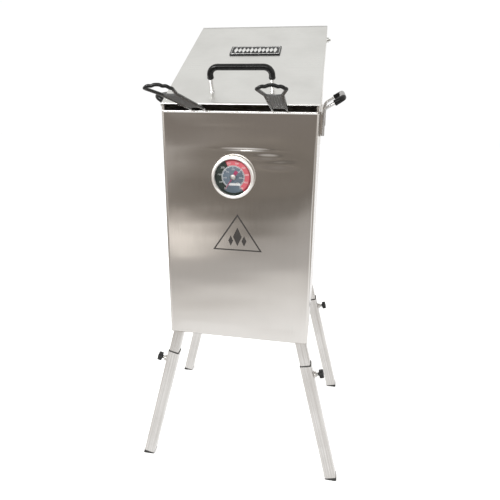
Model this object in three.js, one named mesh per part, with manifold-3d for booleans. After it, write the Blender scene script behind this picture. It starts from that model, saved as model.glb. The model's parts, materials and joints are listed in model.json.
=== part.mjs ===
// A free-standing outdoor deep fryer: a folded stainless shell on four splayed telescopic legs,
// with an oil vessel, two baskets, a sloping hinged lid, a dial thermometer, a burner and a drain.
// Millimetres, +X to the right, +Y to the back, +Z up. The floor is Z = 0.
import * as THREE from 'three';
import { mergeVertices } from 'three/addons/utils/BufferGeometryUtils.js';
import Module from 'manifold-3d';

const wasm = await Module();
wasm.setup();

// ---------------------------------------------------------------- driving dimensions
const GAP = 0.3; // clearance between pieces that touch on the real object
const SHEET = 1.2; // shell sheet thickness
const SHELL = { width: 305, depth: 354, bottom: 346.5, rim: 838.2 };
const HALF = SHELL.width / 2;
const THROUGH = 5; // how far a cutting tool stands out of a sheet on each side
const RIM_HEM = { radius: 1.8, y: 0.6 };
const HEM_POST = { radius: 2.3, y: 3.5 }; // the side sheet's hem turned up at the front corner
const REAR_TOP = 990;

const LID = { slope: THREE.MathUtils.degToRad(24.5), length: 388, width: 310, frontY: 0.6, frontZ: 850.5 };
const LID_FLANGE = { front: 8, rear: 36, frontCut: 6, frontRise: 2, rearCut: 8, fullBefore: 24 };
const HINGE = { along: 361.7, below: 24.7, boltRadius: 3, holeRadius: 3.6, sweepRadius: 22 };
const HINGE_HEX = { radius: 5.6, head: 4.5, nut: 4.6, stickOut: 13, washerRadius: 7, washer: 1.2 };
const LID_HANDLE = { along: 49, halfSpan: 60.5, rise: 52, sleeveStart: 28, bend: 16, stud: 11 };
const LID_COLLAR = { radius: 5.5, height: 1.5 };
const LID_NUT = { radius: 7, height: 5.5 };
const BADGE = { from: 221, to: 264, halfWidth: 57, thickness: 3, rim: 3, recess: 0.8 };
const VENT = { rows: 6, first: 690, pitch: 28, x: 72, halfLength: 45, height: 9 };

const ROD = { radius: 3.5, hole: 4.2, sleeve: 6.2 };
const SIDE_HANDLE = { y0: 100, y1: 280, legX: 159.8, foot: 781, kneeZ: 834.5, barX: 197.5, barZ: 858 };
const SIDE_BEND = 13;
const SIDE_SLEEVE_FROM = 0.55; // where the sleeve starts, as a share of the sloping arm
const SIDE_PAD = { height: 50, overhang: 8 };

const LEG_FOOT = { x: 223, y: -1.4 }; // centre of the foot on the floor, front right
const LEG_TOP = { x: 137.4, y: 14.5, z: 345 };
const LEG_TUBE = { half: 12.7, wall: 1.2, from: 5.6, mouth: 297 };
const LEG_STUB = { half: 11.2, wall: 1.5, from: 207, cutZ: 346.7, spare: 60 };
const FOOT_PLUG = { half: 11.2, top: 25 };
const CLAMP = { height: 270, nutRadius: 7.5, nutEnd: 19, boltRadius: 4, holeRadius: 4.6 };
const KNOB = { from: 25.5, to: 34.5, radius: 9.2, lobe: 1.3, lobes: 6, pointsPerLobe: 4 };

const VESSEL = {
  halfWidth: 149, wall: 1.5, front: 3, back: 256.5, top: 832, floor: 470, wellBack: 75, slopeTop: 640,
};
const DECK = { from: 254.5, to: 351.2, z: 832.5 };
const BASE = { z: 347, thickness: 2, openX: 110, openFront: 30, openBack: 324 };

const GAUGE = { x: -9, z: 710, bezel: 43, window: 36.5, disc: 37.6, boss: 6.3, bossBack: 9, hole: 7 };
const GAUGE_STEM = { radius: 3, length: 95 };
const DIAL = { hole: 2, back: 1.9, front: 3 };
const GLASS = { back: 7.2, front: 9 };
const LOCKNUT = { radius: 11, back: 8.8 };
const NEEDLE = { length: 30, tail: 8, halfRoot: 1.4, halfTip: 0.5, restAngle: THREE.MathUtils.degToRad(238) };
const NEEDLE_HUB = { radius: 4.2, back: 4.2, front: 6.4, pin: 1.2 };

const BURNER = { y: 176, z: 470, halfLength: 112, halfWidth: 34, height: 30 };
const FLAME_SLOT = { reach: 90, pitch: 20, halfWidth: 2.5, halfLength: 22, depth: 4 };
const STRAP = { halfLength: 150.8, thickness: 2.5, ear: 36, earThickness: 1.8, width: 40 };
const VENTURI = { start: 200, mouth: 372, tube: 17, bore: 14, bell: 26, flare: 10, plate: 2, spudHole: 6.6 };
const AIR_HOLE = { count: 4, radius: 5.5, circle: 15 };
const SHUTTER = { thickness: 1.5, tabHalf: 5, tabReach: 9 };
const SPUD = { tip: 4, radius: 6.2, inside: 10, neck: 2.2, shoulder: 8, hex: 9.5, flare: 7, end: 18, bore: 3 };
const DRAIN = { x: 60, y: 48, outer: 13.4, bore: 8, spoutEnd: 338 };
const VALVE = { z: 414, radius: 19, half: 19, stem: 7.5, stemEnd: 24, stemBore: 4.6, cavity: 13.2, ball: 12.5 };
const LEVER = { shaft: 4, shaftFrom: 12.9, back: 8, reach: 66, near: 25, far: 28, halfHeight: 7 };
const BALL_SLOT = { halfLength: 6, halfWidth: 1.8, from: 9.5 };

const BASKET = { x: 79, halfWidth: 65, y0: 26.6, y1: 236, z0: 662, z1: 818, wall: 2 };
const GRIP = {
  halfWire: 13.6, halfBar: 22.5, wire: 2.6, bend: 7, plateY: -176, plateZ: 878.8, barY: -230, barZ: 890.8,
};
const GRIP_LEG = { y: 23, bottom: 775, z: 836.2 };
const GRIP_TURN = { left: 0, right: THREE.MathUtils.degToRad(2.4) }; // the right handle hangs a little askew
const GRIP_PLATE = {
  from: 34, beforeEnd: 2, half: 0.6, ribFrom: 40, ribBeforeEnd: 8, ribTop: 1.3, ribHalf: 0.8,
};
const GRIP_RIBS = [-7, -3.5, 0, 3.5, 7];

const SIDES = [[-1, 'left'], [1, 'right']];
const ENDS = [[-1, 'front'], [1, 'rear']];

// ---------------------------------------------------------------- materials
function material(color, roughness, metalness, extra = {}) {
  return new THREE.MeshStandardMaterial({ color, roughness, metalness, ...extra });
}
const brushedSteel = () => material(0xb9b6b0, 0.38, 0.9);
const tubeSteel = () => material(0xd2cfca, 0.42, 0.85);
const darkSteel = () => material(0x55524f, 0.55, 0.8);
const chrome = () => material(0xe2e2e0, 0.12, 1.0);
const blackPlastic = () => material(0x151515, 0.5, 0.0);
const blackRubber = () => material(0x1b1b1b, 0.8, 0.0);
const castIron = () => material(0x2c2a29, 0.8, 0.6);
const brass = () => material(0xb08d4f, 0.35, 0.9);

// ---------------------------------------------------------------- geometry helpers
function positionsOnly(geometry) {
  const copy = geometry.clone();
  copy.deleteAttribute('normal');
  copy.deleteAttribute('uv');
  return mergeVertices(copy, 1e-4);
}

function toSolid(geometry) {
  const merged = positionsOnly(geometry);
  const vertProperties = Float32Array.from(merged.attributes.position.array);
  const triVerts = Uint32Array.from(merged.index.array);
  return new wasm.Manifold(new wasm.Mesh({ numProp: 3, vertProperties, triVerts }));
}

function toGeometry(solid) {
  const mesh = solid.getMesh();
  const geometry = new THREE.BufferGeometry();
  geometry.setAttribute('position', new THREE.BufferAttribute(mesh.vertProperties, 3));
  geometry.setIndex(new THREE.BufferAttribute(mesh.triVerts, 1));
  return geometry;
}

function cut(body, ...tools) {
  return toGeometry(tools.reduce((solid, tool) => solid.subtract(toSolid(tool)), toSolid(body)));
}

function join(body, ...others) {
  return toGeometry(others.reduce((solid, other) => solid.add(toSolid(other)), toSolid(body)));
}

function common(body, other) {
  return toGeometry(toSolid(body).intersect(toSolid(other)));
}

function block(x0, x1, y0, y1, z0, z1) {
  const box = new THREE.BoxGeometry(x1 - x0, y1 - y0, z1 - z0);
  return box.translate((x0 + x1) / 2, (y0 + y1) / 2, (z0 + z1) / 2);
}

function outline(points) {
  return new THREE.Shape(points.map(([u, v]) => new THREE.Vector2(u, v)));
}

// A profile drawn in Y and Z, made solid from x0 to x1.
function extrudeX(points, x0, x1) {
  const flat = new THREE.ExtrudeGeometry(outline(points), { depth: x1 - x0, bevelEnabled: false });
  const turn = new THREE.Matrix4().makeBasis(
    new THREE.Vector3(0, 1, 0), new THREE.Vector3(0, 0, 1), new THREE.Vector3(1, 0, 0));
  return flat.applyMatrix4(turn).translate(x0, 0, 0);
}

// A profile drawn in X and Y, made solid from z0 to z1.
function extrudeZ(points, z0, z1) {
  const flat = new THREE.ExtrudeGeometry(outline(points), { depth: z1 - z0, bevelEnabled: false });
  return flat.translate(0, 0, z0);
}

function rodAlong(axis, radius, from, to, sides, a = 0, b = 0) {
  const rod = new THREE.CylinderGeometry(radius, radius, to - from, sides);
  rod.translate(0, (from + to) / 2, 0);
  if (axis === 'x') return rod.rotateZ(-Math.PI / 2).translate(0, a, b);
  if (axis === 'y') return rod.translate(a, 0, b);
  return rod.rotateX(Math.PI / 2).translate(a, b, 0);
}

// A turned piece about Z from a closed or axis-to-axis profile of [radius, height].
function turned(profile, segments) {
  const lathe = new THREE.LatheGeometry(profile.map(([r, h]) => new THREE.Vector2(r, h)), segments);
  return lathe.rotateX(Math.PI / 2);
}

function ring(inner, outer, from, to, segments) {
  return turned([[inner, from], [outer, from], [outer, to], [inner, to], [inner, from]], segments);
}

function arc(cy, cz, radius, from, to, steps) {
  return Array.from({ length: steps + 1 }, (_, i) => {
    const angle = from + ((to - from) * i) / steps;
    return [cy + radius * Math.cos(angle), cz + radius * Math.sin(angle)];
  });
}

// A bent path: straight runs between corners, with each inner corner rounded to an arc.
class BentPath extends THREE.Curve {
  constructor(corners, bend, stepsPerBend = 4) {
    super();
    this.points = [corners[0]];
    for (let i = 1; i < corners.length - 1; i += 1) {
      this.points.push(...BentPath.round(corners[i - 1], corners[i], corners[i + 1], bend, stepsPerBend));
    }
    this.points.push(corners[corners.length - 1]);
    this.steps = this.points.length - 1;
  }

  static round(before, corner, after, bend, steps) {
    const inward = before.clone().sub(corner).normalize();
    const outward = after.clone().sub(corner).normalize();
    const half = inward.angleTo(outward) / 2;
    const reach = bend / Math.tan(half);
    const centre = inward.clone().add(outward).normalize().multiplyScalar(bend / Math.sin(half)).add(corner);
    const start = corner.clone().addScaledVector(inward, reach).sub(centre);
    const end = corner.clone().addScaledVector(outward, reach).sub(centre);
    const sweep = start.angleTo(end);
    return Array.from({ length: steps + 1 }, (_, i) => {
      const t = i / steps;
      const a = Math.sin((1 - t) * sweep) / Math.sin(sweep);
      const b = Math.sin(t * sweep) / Math.sin(sweep);
      return start.clone().multiplyScalar(a).addScaledVector(end, b).add(centre);
    });
  }

  getPoint(t, target = new THREE.Vector3()) {
    const place = Math.min(Math.max(t, 0), 1) * this.steps;
    const index = Math.min(Math.floor(place), this.steps - 1);
    return target.copy(this.points[index]).lerp(this.points[index + 1], place - index);
  }

  getPointAt(u, target) {
    return this.getPoint(u, target);
  }

  getTangentAt(u, target = new THREE.Vector3()) {
    const index = Math.round(u * this.steps);
    const before = this.points[Math.max(index - 1, 0)];
    const here = this.points[index];
    const after = this.points[Math.min(index + 1, this.steps)];
    const arriving = here.clone().sub(before).normalize();
    const leaving = after.clone().sub(here).normalize();
    return target.copy(arriving.add(leaving)).normalize();
  }
}

function bentTube(corners, bend, outer, inner = 0, halfSides = 5, stepsPerBend = 4) {
  const section = new THREE.Shape();
  section.absarc(0, 0, outer, 0, Math.PI * 2, false);
  if (inner > 0) {
    const hole = new THREE.Path();
    hole.absarc(0, 0, inner, 0, Math.PI * 2, true);
    section.holes.push(hole);
  }
  const extrudePath = new BentPath(corners, bend, stepsPerBend);
  return new THREE.ExtrudeGeometry(section, { extrudePath, steps: extrudePath.steps, curveSegments: halfSides });
}

const at = (x, y, z) => new THREE.Vector3(x, y, z);

// ---------------------------------------------------------------- assembly
const fryer = new THREE.Group();

function part(name, geometry, look, parent = fryer) {
  const mesh = new THREE.Mesh(geometry, look);
  mesh.name = name;
  parent.add(mesh);
  return mesh;
}

// ---------------------------------------------------------------- shell
// Where a point on the lid's own axes lies: distance along the slope and height off the sheet.
function lidToWorld(along, off) {
  const y = LID.frontY + along * Math.cos(LID.slope) - off * Math.sin(LID.slope);
  const z = LID.frontZ + along * Math.sin(LID.slope) + off * Math.cos(LID.slope);
  return [y, z];
}
const [HINGE_Y, HINGE_Z] = lidToWorld(HINGE.along, -HINGE.below);

function frontPanel() {
  const sheet = block(-HALF, HALF, 0, SHEET, SHELL.bottom, SHELL.rim - RIM_HEM.radius);
  const hemHalf = HALF - SHEET - GAP;
  const hem = rodAlong('x', RIM_HEM.radius, -hemHalf, hemHalf, 12, RIM_HEM.y, SHELL.rim - RIM_HEM.radius);
  const gaugeHole = rodAlong('y', GAUGE.hole, -THROUGH, THROUGH, 20, GAUGE.x, GAUGE.z);
  return cut(join(sheet, hem), gaugeHole);
}

function sideWall(side) {
  const front = SHEET + GAP;
  const back = SHELL.depth - SHEET - GAP;
  const underLid = -SHEET - 0.4;
  const [frontY, frontZ] = lidToWorld(2.5, underLid); // clear of the lid's front edge and underside
  const reach = Math.acos((back - HINGE_Y) / HINGE.sweepRadius);
  const corner = arc(HINGE_Y, HINGE_Z, HINGE.sweepRadius, reach, Math.PI / 2 + LID.slope, 6);
  const nose = frontZ - 0.6;
  const profile = [[front, SHELL.bottom], [back, SHELL.bottom], ...corner, [frontY, frontZ], [front, nose]];
  const x0 = side * HALF;
  const x1 = side * (HALF - SHEET);
  const sheet = extrudeX(profile, Math.min(x0, x1), Math.max(x0, x1));
  const postX = side * (HALF - HEM_POST.radius);
  const post = rodAlong('z', HEM_POST.radius, SHELL.rim + GAP, nose - 1, 12, postX, HEM_POST.y);
  const hole = rodAlong('x', HINGE.holeRadius, -HALF - THROUGH, HALF + THROUGH, 12, HINGE_Y, HINGE_Z);
  return cut(join(sheet, post), hole);
}

function rearPanel() {
  const y0 = SHELL.depth - SHEET;
  const sheet = block(-HALF, HALF, y0, SHELL.depth, SHELL.bottom, REAR_TOP);
  const slots = [];
  for (let row = 0; row < VENT.rows; row += 1) {
    for (const [side] of SIDES) {
      const z = VENT.first + row * VENT.pitch;
      const x = side * VENT.x;
      const half = VENT.halfLength;
      slots.push(block(x - half, x + half, y0 - THROUGH, SHELL.depth + THROUGH, z, z + VENT.height));
    }
  }
  const clearance = 4;
  const radius = VENTURI.tube + clearance;
  const burnerHole = rodAlong('y', radius, y0 - THROUGH, SHELL.depth + THROUGH, 20, 0, BURNER.z);
  return cut(sheet, ...slots, burnerHole);
}

function baseFrame() {
  const inner = HALF - SHEET - GAP;
  const plate = block(-inner, inner, SHEET + GAP, SHELL.depth - SHEET - GAP, BASE.z, BASE.z + BASE.thickness);
  const { openX, openFront, openBack, z, thickness } = BASE;
  const opening = block(-openX, openX, openFront, openBack, z - THROUGH, z + thickness + THROUGH);
  return cut(plate, opening);
}

function shell() {
  part('front_panel', frontPanel(), brushedSteel());
  part('side_wall_left', sideWall(-1), brushedSteel());
  part('side_wall_right', sideWall(1), brushedSteel());
  part('rear_panel', rearPanel(), brushedSteel());
  part('base_frame', baseFrame(), brushedSteel());
}

// ---------------------------------------------------------------- oil vessel
function vesselProfile(inset, top) {
  const v = VESSEL;
  const slant = inset * 0.45; // about what keeps the wall even where the slope meets the floor and the back
  return [
    [v.front + inset, top], [v.front + inset, v.floor + inset], [v.wellBack - slant, v.floor + inset],
    [v.back - inset, v.slopeTop + slant], [v.back - inset, top],
  ];
}

function fryVessel() {
  const outer = extrudeX(vesselProfile(0, VESSEL.top), -VESSEL.halfWidth, VESSEL.halfWidth);
  const halfInside = VESSEL.halfWidth - VESSEL.wall;
  const inner = extrudeX(vesselProfile(VESSEL.wall, VESSEL.top + THROUGH), -halfInside, halfInside);
  const gaugeHole = rodAlong('y', GAUGE.hole, 0, VESSEL.front + THROUGH, 20, GAUGE.x, GAUGE.z);
  const floor = VESSEL.floor;
  const drainHole = rodAlong('z', DRAIN.bore, floor - THROUGH, floor + THROUGH, 16, DRAIN.x, DRAIN.y);
  return cut(outer, inner, gaugeHole, drainHole);
}

function flueDeck() {
  const rise = (DECK.to - DECK.from) * Math.tan(LID.slope);
  const inner = HALF - SHEET - GAP;
  const profile = [
    [DECK.from, DECK.z], [DECK.to, DECK.z + rise], [DECK.to, DECK.z + rise + SHEET], [DECK.from, DECK.z + SHEET],
  ];
  return extrudeX(profile, -inner, inner);
}

function vessel() {
  part('fry_vessel', fryVessel(), brushedSteel());
  part('flue_deck', flueDeck(), brushedSteel());
}

// ---------------------------------------------------------------- lid, built on its own sloping axes
const lid = new THREE.Group();
lid.position.set(0, LID.frontY, LID.frontZ);
lid.rotation.x = LID.slope;
fryer.add(lid);

function lidPanel() {
  const half = LID.width / 2;
  const sheet = block(-half, half, 0, LID.length, -SHEET, 0);
  const f = LID_FLANGE;
  const side = [
    [0, -SHEET / 2], [0, -f.front + f.frontRise], [f.frontCut, -f.front], [HINGE.along - f.fullBefore, -f.rear],
    [LID.length - f.rearCut, -f.rear], [LID.length, -f.rear + f.rearCut], [LID.length, -SHEET / 2],
  ];
  const left = extrudeX(side, -half, -half + SHEET);
  const right = extrudeX(side, half - SHEET, half);
  const hinge = rodAlong('x', HINGE.holeRadius, -half - THROUGH, half + THROUGH, 12, HINGE.along, -HINGE.below);
  const { halfSpan, along } = LID_HANDLE;
  const posts = SIDES.map(([s]) => rodAlong('z', ROD.hole, -THROUGH, THROUGH, 12, s * halfSpan, along));
  return cut(join(sheet, left, right), hinge, ...posts);
}

function lidHandleCorners(start) {
  const { halfSpan, along, rise } = LID_HANDLE;
  const right = [at(halfSpan, along, rise), at(halfSpan, along, start)];
  return [at(-halfSpan, along, start), at(-halfSpan, along, rise), ...right];
}

function hexNut(outer, hole, z0, z1, x, y) {
  return cut(rodAlong('z', outer, z0, z1, 6, x, y), rodAlong('z', hole, z0 - 1, z1 + 1, 12, x, y));
}

// The rod has a collar at each foot that stands on the sheet, and a nut under the sheet holds it.
function lidHandleRod() {
  const rod = bentTube(lidHandleCorners(-LID_HANDLE.stud), LID_HANDLE.bend, ROD.radius);
  const { halfSpan, along } = LID_HANDLE;
  const { radius, height } = LID_COLLAR;
  const collars = SIDES.map(([side]) => rodAlong('z', radius, GAP, GAP + height, 16, side * halfSpan, along));
  return join(rod, ...collars);
}

function badge() {
  const { from, to, halfWidth, thickness, rim, recess } = BADGE;
  const top = GAP + thickness;
  const plate = block(-halfWidth, halfWidth, from, to, GAP, top);
  const tray = block(-halfWidth + rim, halfWidth - rim, from + rim, to - rim, top - recess, top + THROUGH);
  return cut(plate, tray);
}

function lidParts() {
  part('lid_panel', lidPanel(), brushedSteel(), lid);
  part('lid_handle_rod', lidHandleRod(), chrome(), lid);
  const sleeve = bentTube(lidHandleCorners(LID_HANDLE.sleeveStart), LID_HANDLE.bend, ROD.sleeve, ROD.hole, 6);
  part('lid_handle_grip', sleeve, blackPlastic(), lid);
  for (const [side, word] of SIDES) {
    const x = side * LID_HANDLE.halfSpan;
    const top = -SHEET - GAP;
    const nut = hexNut(LID_NUT.radius, ROD.hole, top - LID_NUT.height, top, x, LID_HANDLE.along);
    part(`lid_handle_nut_${word}`, nut, chrome(), lid);
  }
  part('badge_plate', badge(), blackPlastic(), lid);
}

// ---------------------------------------------------------------- lid hinge fasteners
function hingeBolt(side) {
  const wall = HALF - SHEET;
  const head = rodAlong('x', HINGE_HEX.radius, wall - GAP - HINGE_HEX.head, wall - GAP, 6, HINGE_Y, HINGE_Z);
  const shank = rodAlong('x', HINGE.boltRadius, wall - GAP - 1, wall + HINGE_HEX.stickOut, 12, HINGE_Y, HINGE_Z);
  const bolt = join(head, shank);
  return side > 0 ? bolt : bolt.rotateZ(Math.PI).translate(0, 2 * HINGE_Y, 0);
}

function hingeNut(side) {
  const from = LID.width / 2 + GAP;
  const end = from + 1 + HINGE_HEX.nut;
  const washer = rodAlong('x', HINGE_HEX.washerRadius, from, from + HINGE_HEX.washer, 16, HINGE_Y, HINGE_Z);
  const nut = rodAlong('x', HINGE_HEX.radius, from + 1, end, 6, HINGE_Y, HINGE_Z);
  const bore = rodAlong('x', HINGE.boltRadius + GAP, from - THROUGH, end + THROUGH, 12, HINGE_Y, HINGE_Z);
  const pair = cut(join(washer, nut), bore);
  return side > 0 ? pair : pair.rotateZ(Math.PI).translate(0, 2 * HINGE_Y, 0);
}

function hingeFasteners() {
  for (const [side, word] of SIDES) {
    part(`hinge_bolt_${word}`, hingeBolt(side), chrome());
    part(`hinge_nut_${word}`, hingeNut(side), chrome());
  }
}

// ---------------------------------------------------------------- side handles
function sideHandleCorners(side, lower) {
  const h = SIDE_HANDLE;
  const profile = [...lower, [h.barX, h.barZ]];
  const front = profile.map(([x, z]) => at(side * x, h.y0, z));
  const rear = profile.map(([x, z]) => at(side * x, h.y1, z)).reverse();
  return [...front, ...rear];
}

function sideHandle(side, word) {
  const h = SIDE_HANDLE;
  const sleeveX = h.legX + (h.barX - h.legX) * SIDE_SLEEVE_FROM;
  const sleeveZ = h.kneeZ + (h.barZ - h.kneeZ) * SIDE_SLEEVE_FROM;
  const rod = bentTube(sideHandleCorners(side, [[h.legX, h.foot], [h.legX, h.kneeZ]]), SIDE_BEND, ROD.radius);
  const sleeve = bentTube(sideHandleCorners(side, [[sleeveX, sleeveZ]]), SIDE_BEND, ROD.sleeve, ROD.hole, 6);
  const inner = HALF + GAP;
  const outer = h.legX - ROD.radius - GAP;
  const x0 = Math.min(side * inner, side * outer);
  const x1 = Math.max(side * inner, side * outer);
  const past = SIDE_PAD.overhang;
  const pad = block(x0, x1, h.y0 - past, h.y1 + past, h.foot, h.foot + SIDE_PAD.height);
  part(`side_handle_rod_${word}`, rod, chrome());
  part(`side_handle_grip_${word}`, sleeve, blackPlastic());
  part(`side_handle_pad_${word}`, pad, brushedSteel());
}

// ---------------------------------------------------------------- legs
// The leg's own axes: Z up along the tube, X outwards, origin where its centre line meets the floor.
function legMatrix(side, end) {
  const middle = SHELL.depth / 2;
  const foot = at(side * LEG_FOOT.x, end < 0 ? LEG_FOOT.y : 2 * middle - LEG_FOOT.y, 0);
  const top = at(side * LEG_TOP.x, end < 0 ? LEG_TOP.y : 2 * middle - LEG_TOP.y, LEG_TOP.z);
  const up = top.sub(foot).normalize();
  const outward = at(side, 0, 0).addScaledVector(up, -side * up.x).normalize();
  const across = up.clone().cross(outward);
  return new THREE.Matrix4().makeBasis(outward, across, up).setPosition(foot);
}

// Everything between the floor and a height, for cutting pieces that lean.
function under(height) {
  return block(-SHELL.depth, SHELL.depth, -SHELL.depth, 2 * SHELL.depth, 0, height);
}

function squareTube(half, wall, from, to) {
  const bore = half - wall;
  const inside = block(-bore, bore, -bore, bore, from - THROUGH, to + THROUGH);
  return cut(block(-half, half, -half, half, from, to), inside);
}

function legStub(matrix) {
  const { half, wall, from, spare, cutZ } = LEG_STUB;
  return common(squareTube(half, wall, from, LEG_TOP.z + spare).applyMatrix4(matrix), under(cutZ));
}

function lowerLeg(matrix) {
  const { half, wall, from, mouth } = LEG_TUBE;
  const nut = rodAlong('x', CLAMP.nutRadius, half - wall / 2, CLAMP.nutEnd, 6, 0, CLAMP.height);
  const hole = rodAlong('x', CLAMP.holeRadius, half - THROUGH, CLAMP.nutEnd + THROUGH, 12, 0, CLAMP.height);
  return cut(join(squareTube(half, wall, from, mouth), nut), hole).applyMatrix4(matrix);
}

function rubberFoot(matrix) {
  const half = LEG_TUBE.half;
  const top = LEG_TUBE.from - GAP;
  const tread = block(-half, half, -half, half, -half, top).applyMatrix4(matrix);
  const plug = FOOT_PLUG.half;
  const insert = block(-plug, plug, -plug, plug, top - 1.7, FOOT_PLUG.top).applyMatrix4(matrix);
  return join(common(tread, under(SHELL.bottom)), insert);
}

function thumbScrew(matrix) {
  const points = [];
  const count = KNOB.lobes * KNOB.pointsPerLobe;
  for (let i = 0; i < count; i += 1) {
    const angle = (i * 2 * Math.PI) / count;
    const radius = KNOB.radius + KNOB.lobe * Math.cos(angle * KNOB.lobes);
    points.push([radius * Math.cos(angle), radius * Math.sin(angle)]);
  }
  const head = extrudeX(points, KNOB.from, KNOB.to).translate(0, 0, CLAMP.height);
  const bolt = rodAlong('x', CLAMP.boltRadius, LEG_STUB.half + GAP, KNOB.from + 2, 12, 0, CLAMP.height);
  return join(head, bolt).applyMatrix4(matrix);
}

function legs() {
  for (const [end, endWord] of ENDS) {
    for (const [side, sideWord] of SIDES) {
      const matrix = legMatrix(side, end);
      const place = `${endWord}_${sideWord}`;
      part(`leg_stub_${place}`, legStub(matrix), tubeSteel());
      part(`lower_leg_${place}`, lowerLeg(matrix), tubeSteel());
      part(`rubber_foot_${place}`, rubberFoot(matrix), blackRubber());
      part(`thumb_screw_${place}`, thumbScrew(matrix), blackPlastic());
    }
  }
}

// ---------------------------------------------------------------- thermometer, Z outwards from the panel
const gauge = new THREE.Group();
gauge.position.set(GAUGE.x, 0, GAUGE.z);
gauge.rotation.x = Math.PI / 2;
fryer.add(gauge);

function gaugeParts() {
  const r = GAUGE.bezel;
  const w = GAUGE.window;
  const back = -GAUGE.bossBack;
  // Both profiles are [radius, height off the panel].
  const cup = [
    [0, back], [GAUGE.boss, back], [GAUGE.boss, GAP], [r - 4, GAP],
    [r - 4, 8], [r - 5, 8], [r - 5, 1.5], [0, 1.5],
  ];
  const bezel = [
    [r - 3.6, 2], [r - 0.8, 2], [r, 4], [r, 8], [r - 1.6, 11], [r - 4, 12.2],
    [w, 10.6], [w, 9.4], [r - 3.6, 8.8], [r - 3.6, 2],
  ];
  const stem = rodAlong('z', GAUGE_STEM.radius, -GAUGE_STEM.length, back + 1, 12);
  const nutFace = -VESSEL.front - VESSEL.wall - GAP;
  const nut = hexNut(LOCKNUT.radius, GAUGE.boss + 0.5, -LOCKNUT.back, nutFace, 0, 0);
  const glass = [[0, GLASS.back], [GAUGE.disc, GLASS.back], [GAUGE.disc, GLASS.front], [0, GLASS.front]];
  const clear = material(0xffffff, 0.05, 0, { transparent: true, opacity: 0.3 });
  part('thermometer_case', join(turned(cup, 28), stem), darkSteel(), gauge);
  part('thermometer_bezel', turned(bezel, 36), chrome(), gauge);
  const disc = ring(DIAL.hole, GAUGE.disc, DIAL.back, DIAL.front, 28);
  part('thermometer_dial', disc, material(0x2b3a48, 0.5, 0.1), gauge);
  part('thermometer_glass', turned(glass, 28), clear, gauge);
  part('thermometer_locknut', nut, brass(), gauge);
}

function gaugeNeedle() {
  const n = NEEDLE;
  const h = NEEDLE_HUB;
  const hub = rodAlong('z', h.radius, h.back, h.front, 16);
  const blade = [[-n.tail, -n.halfRoot], [n.length, -n.halfTip], [n.length, n.halfTip], [-n.tail, n.halfRoot]];
  const pointer = extrudeZ(blade, h.back + 0.4, h.front - 1);
  const pin = rodAlong('z', h.pin, DIAL.back, h.back + 0.4, 8);
  const needle = join(hub, pointer.rotateZ(n.restAngle), pin);
  part('thermometer_needle', needle, material(0xd8d8da, 0.35, 0.3), gauge);
}

// ---------------------------------------------------------------- burner
// The mixing tube runs along +Y; its local Z is that direction.
const mixer = new THREE.Group();
mixer.position.set(0, 0, BURNER.z);
mixer.rotation.x = -Math.PI / 2;
mixer.updateMatrix();
fryer.add(mixer);

function burner() {
  const b = BURNER;
  const r = b.halfWidth;
  const straight = b.halfLength - r;
  const right = arc(straight, 0, r, -Math.PI / 2, Math.PI / 2, 8);
  const left = arc(-straight, 0, r, Math.PI / 2, (3 * Math.PI) / 2, 8);
  const casting = extrudeZ([...right, ...left], b.z - b.height / 2, b.z + b.height / 2).translate(0, b.y, 0);
  const top = b.z + b.height / 2;
  const f = FLAME_SLOT;
  const grooves = [];
  for (let x = -f.reach; x <= f.reach; x += f.pitch) {
    const y0 = b.y - f.halfLength;
    grooves.push(block(x - f.halfWidth, x + f.halfWidth, y0, b.y + f.halfLength, top - f.depth, top + THROUGH));
  }
  const throat = mixingTube().applyMatrix4(mixer.matrix);
  part('burner_casting', join(cut(casting, ...grooves), throat), castIron());
  part('burner_bracket', bracket(), darkSteel());
}

// The strap that carries the burner, with an ear at each end that stands against the side sheet.
function bracket() {
  const { halfLength, thickness, ear, earThickness, width } = STRAP;
  const inner = halfLength - earThickness;
  const profile = [
    [-halfLength, ear], [-inner, ear], [-inner, thickness], [inner, thickness], [inner, ear],
    [halfLength, ear], [halfLength, 0], [-halfLength, 0],
  ];
  const strap = new THREE.ExtrudeGeometry(outline(profile), { depth: width, bevelEnabled: false });
  const bottom = BURNER.z - BURNER.height / 2 - GAP - thickness;
  return strap.rotateX(Math.PI / 2).translate(0, BURNER.y + width / 2, bottom);
}

function mixingTube() {
  const v = VENTURI;
  const lip = v.mouth - v.plate;
  const flareEnd = lip - v.plate;
  const flareStart = flareEnd - v.flare;
  const wall = v.tube - v.bore;
  const profile = [
    [v.bore, v.start], [v.tube, v.start], [v.tube, flareStart], [v.bell, flareEnd], [v.bell, v.mouth],
    [v.spudHole, v.mouth], [v.spudHole, lip], [v.bell - wall, lip], [v.bell - wall, flareEnd],
    [v.bore, flareStart - 1], [v.bore, v.start],
  ];
  return cut(turned(profile, 24), ...airHoles());
}

function airHoles() {
  const { count, radius, circle } = AIR_HOLE;
  return Array.from({ length: count }, (_, i) => {
    const angle = ((i + 0.5) * 2 * Math.PI) / count;
    const from = VENTURI.mouth - THROUGH;
    const to = VENTURI.mouth + THROUGH;
    return rodAlong('z', radius, from, to, 12, circle * Math.cos(angle), circle * Math.sin(angle));
  });
}

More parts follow.
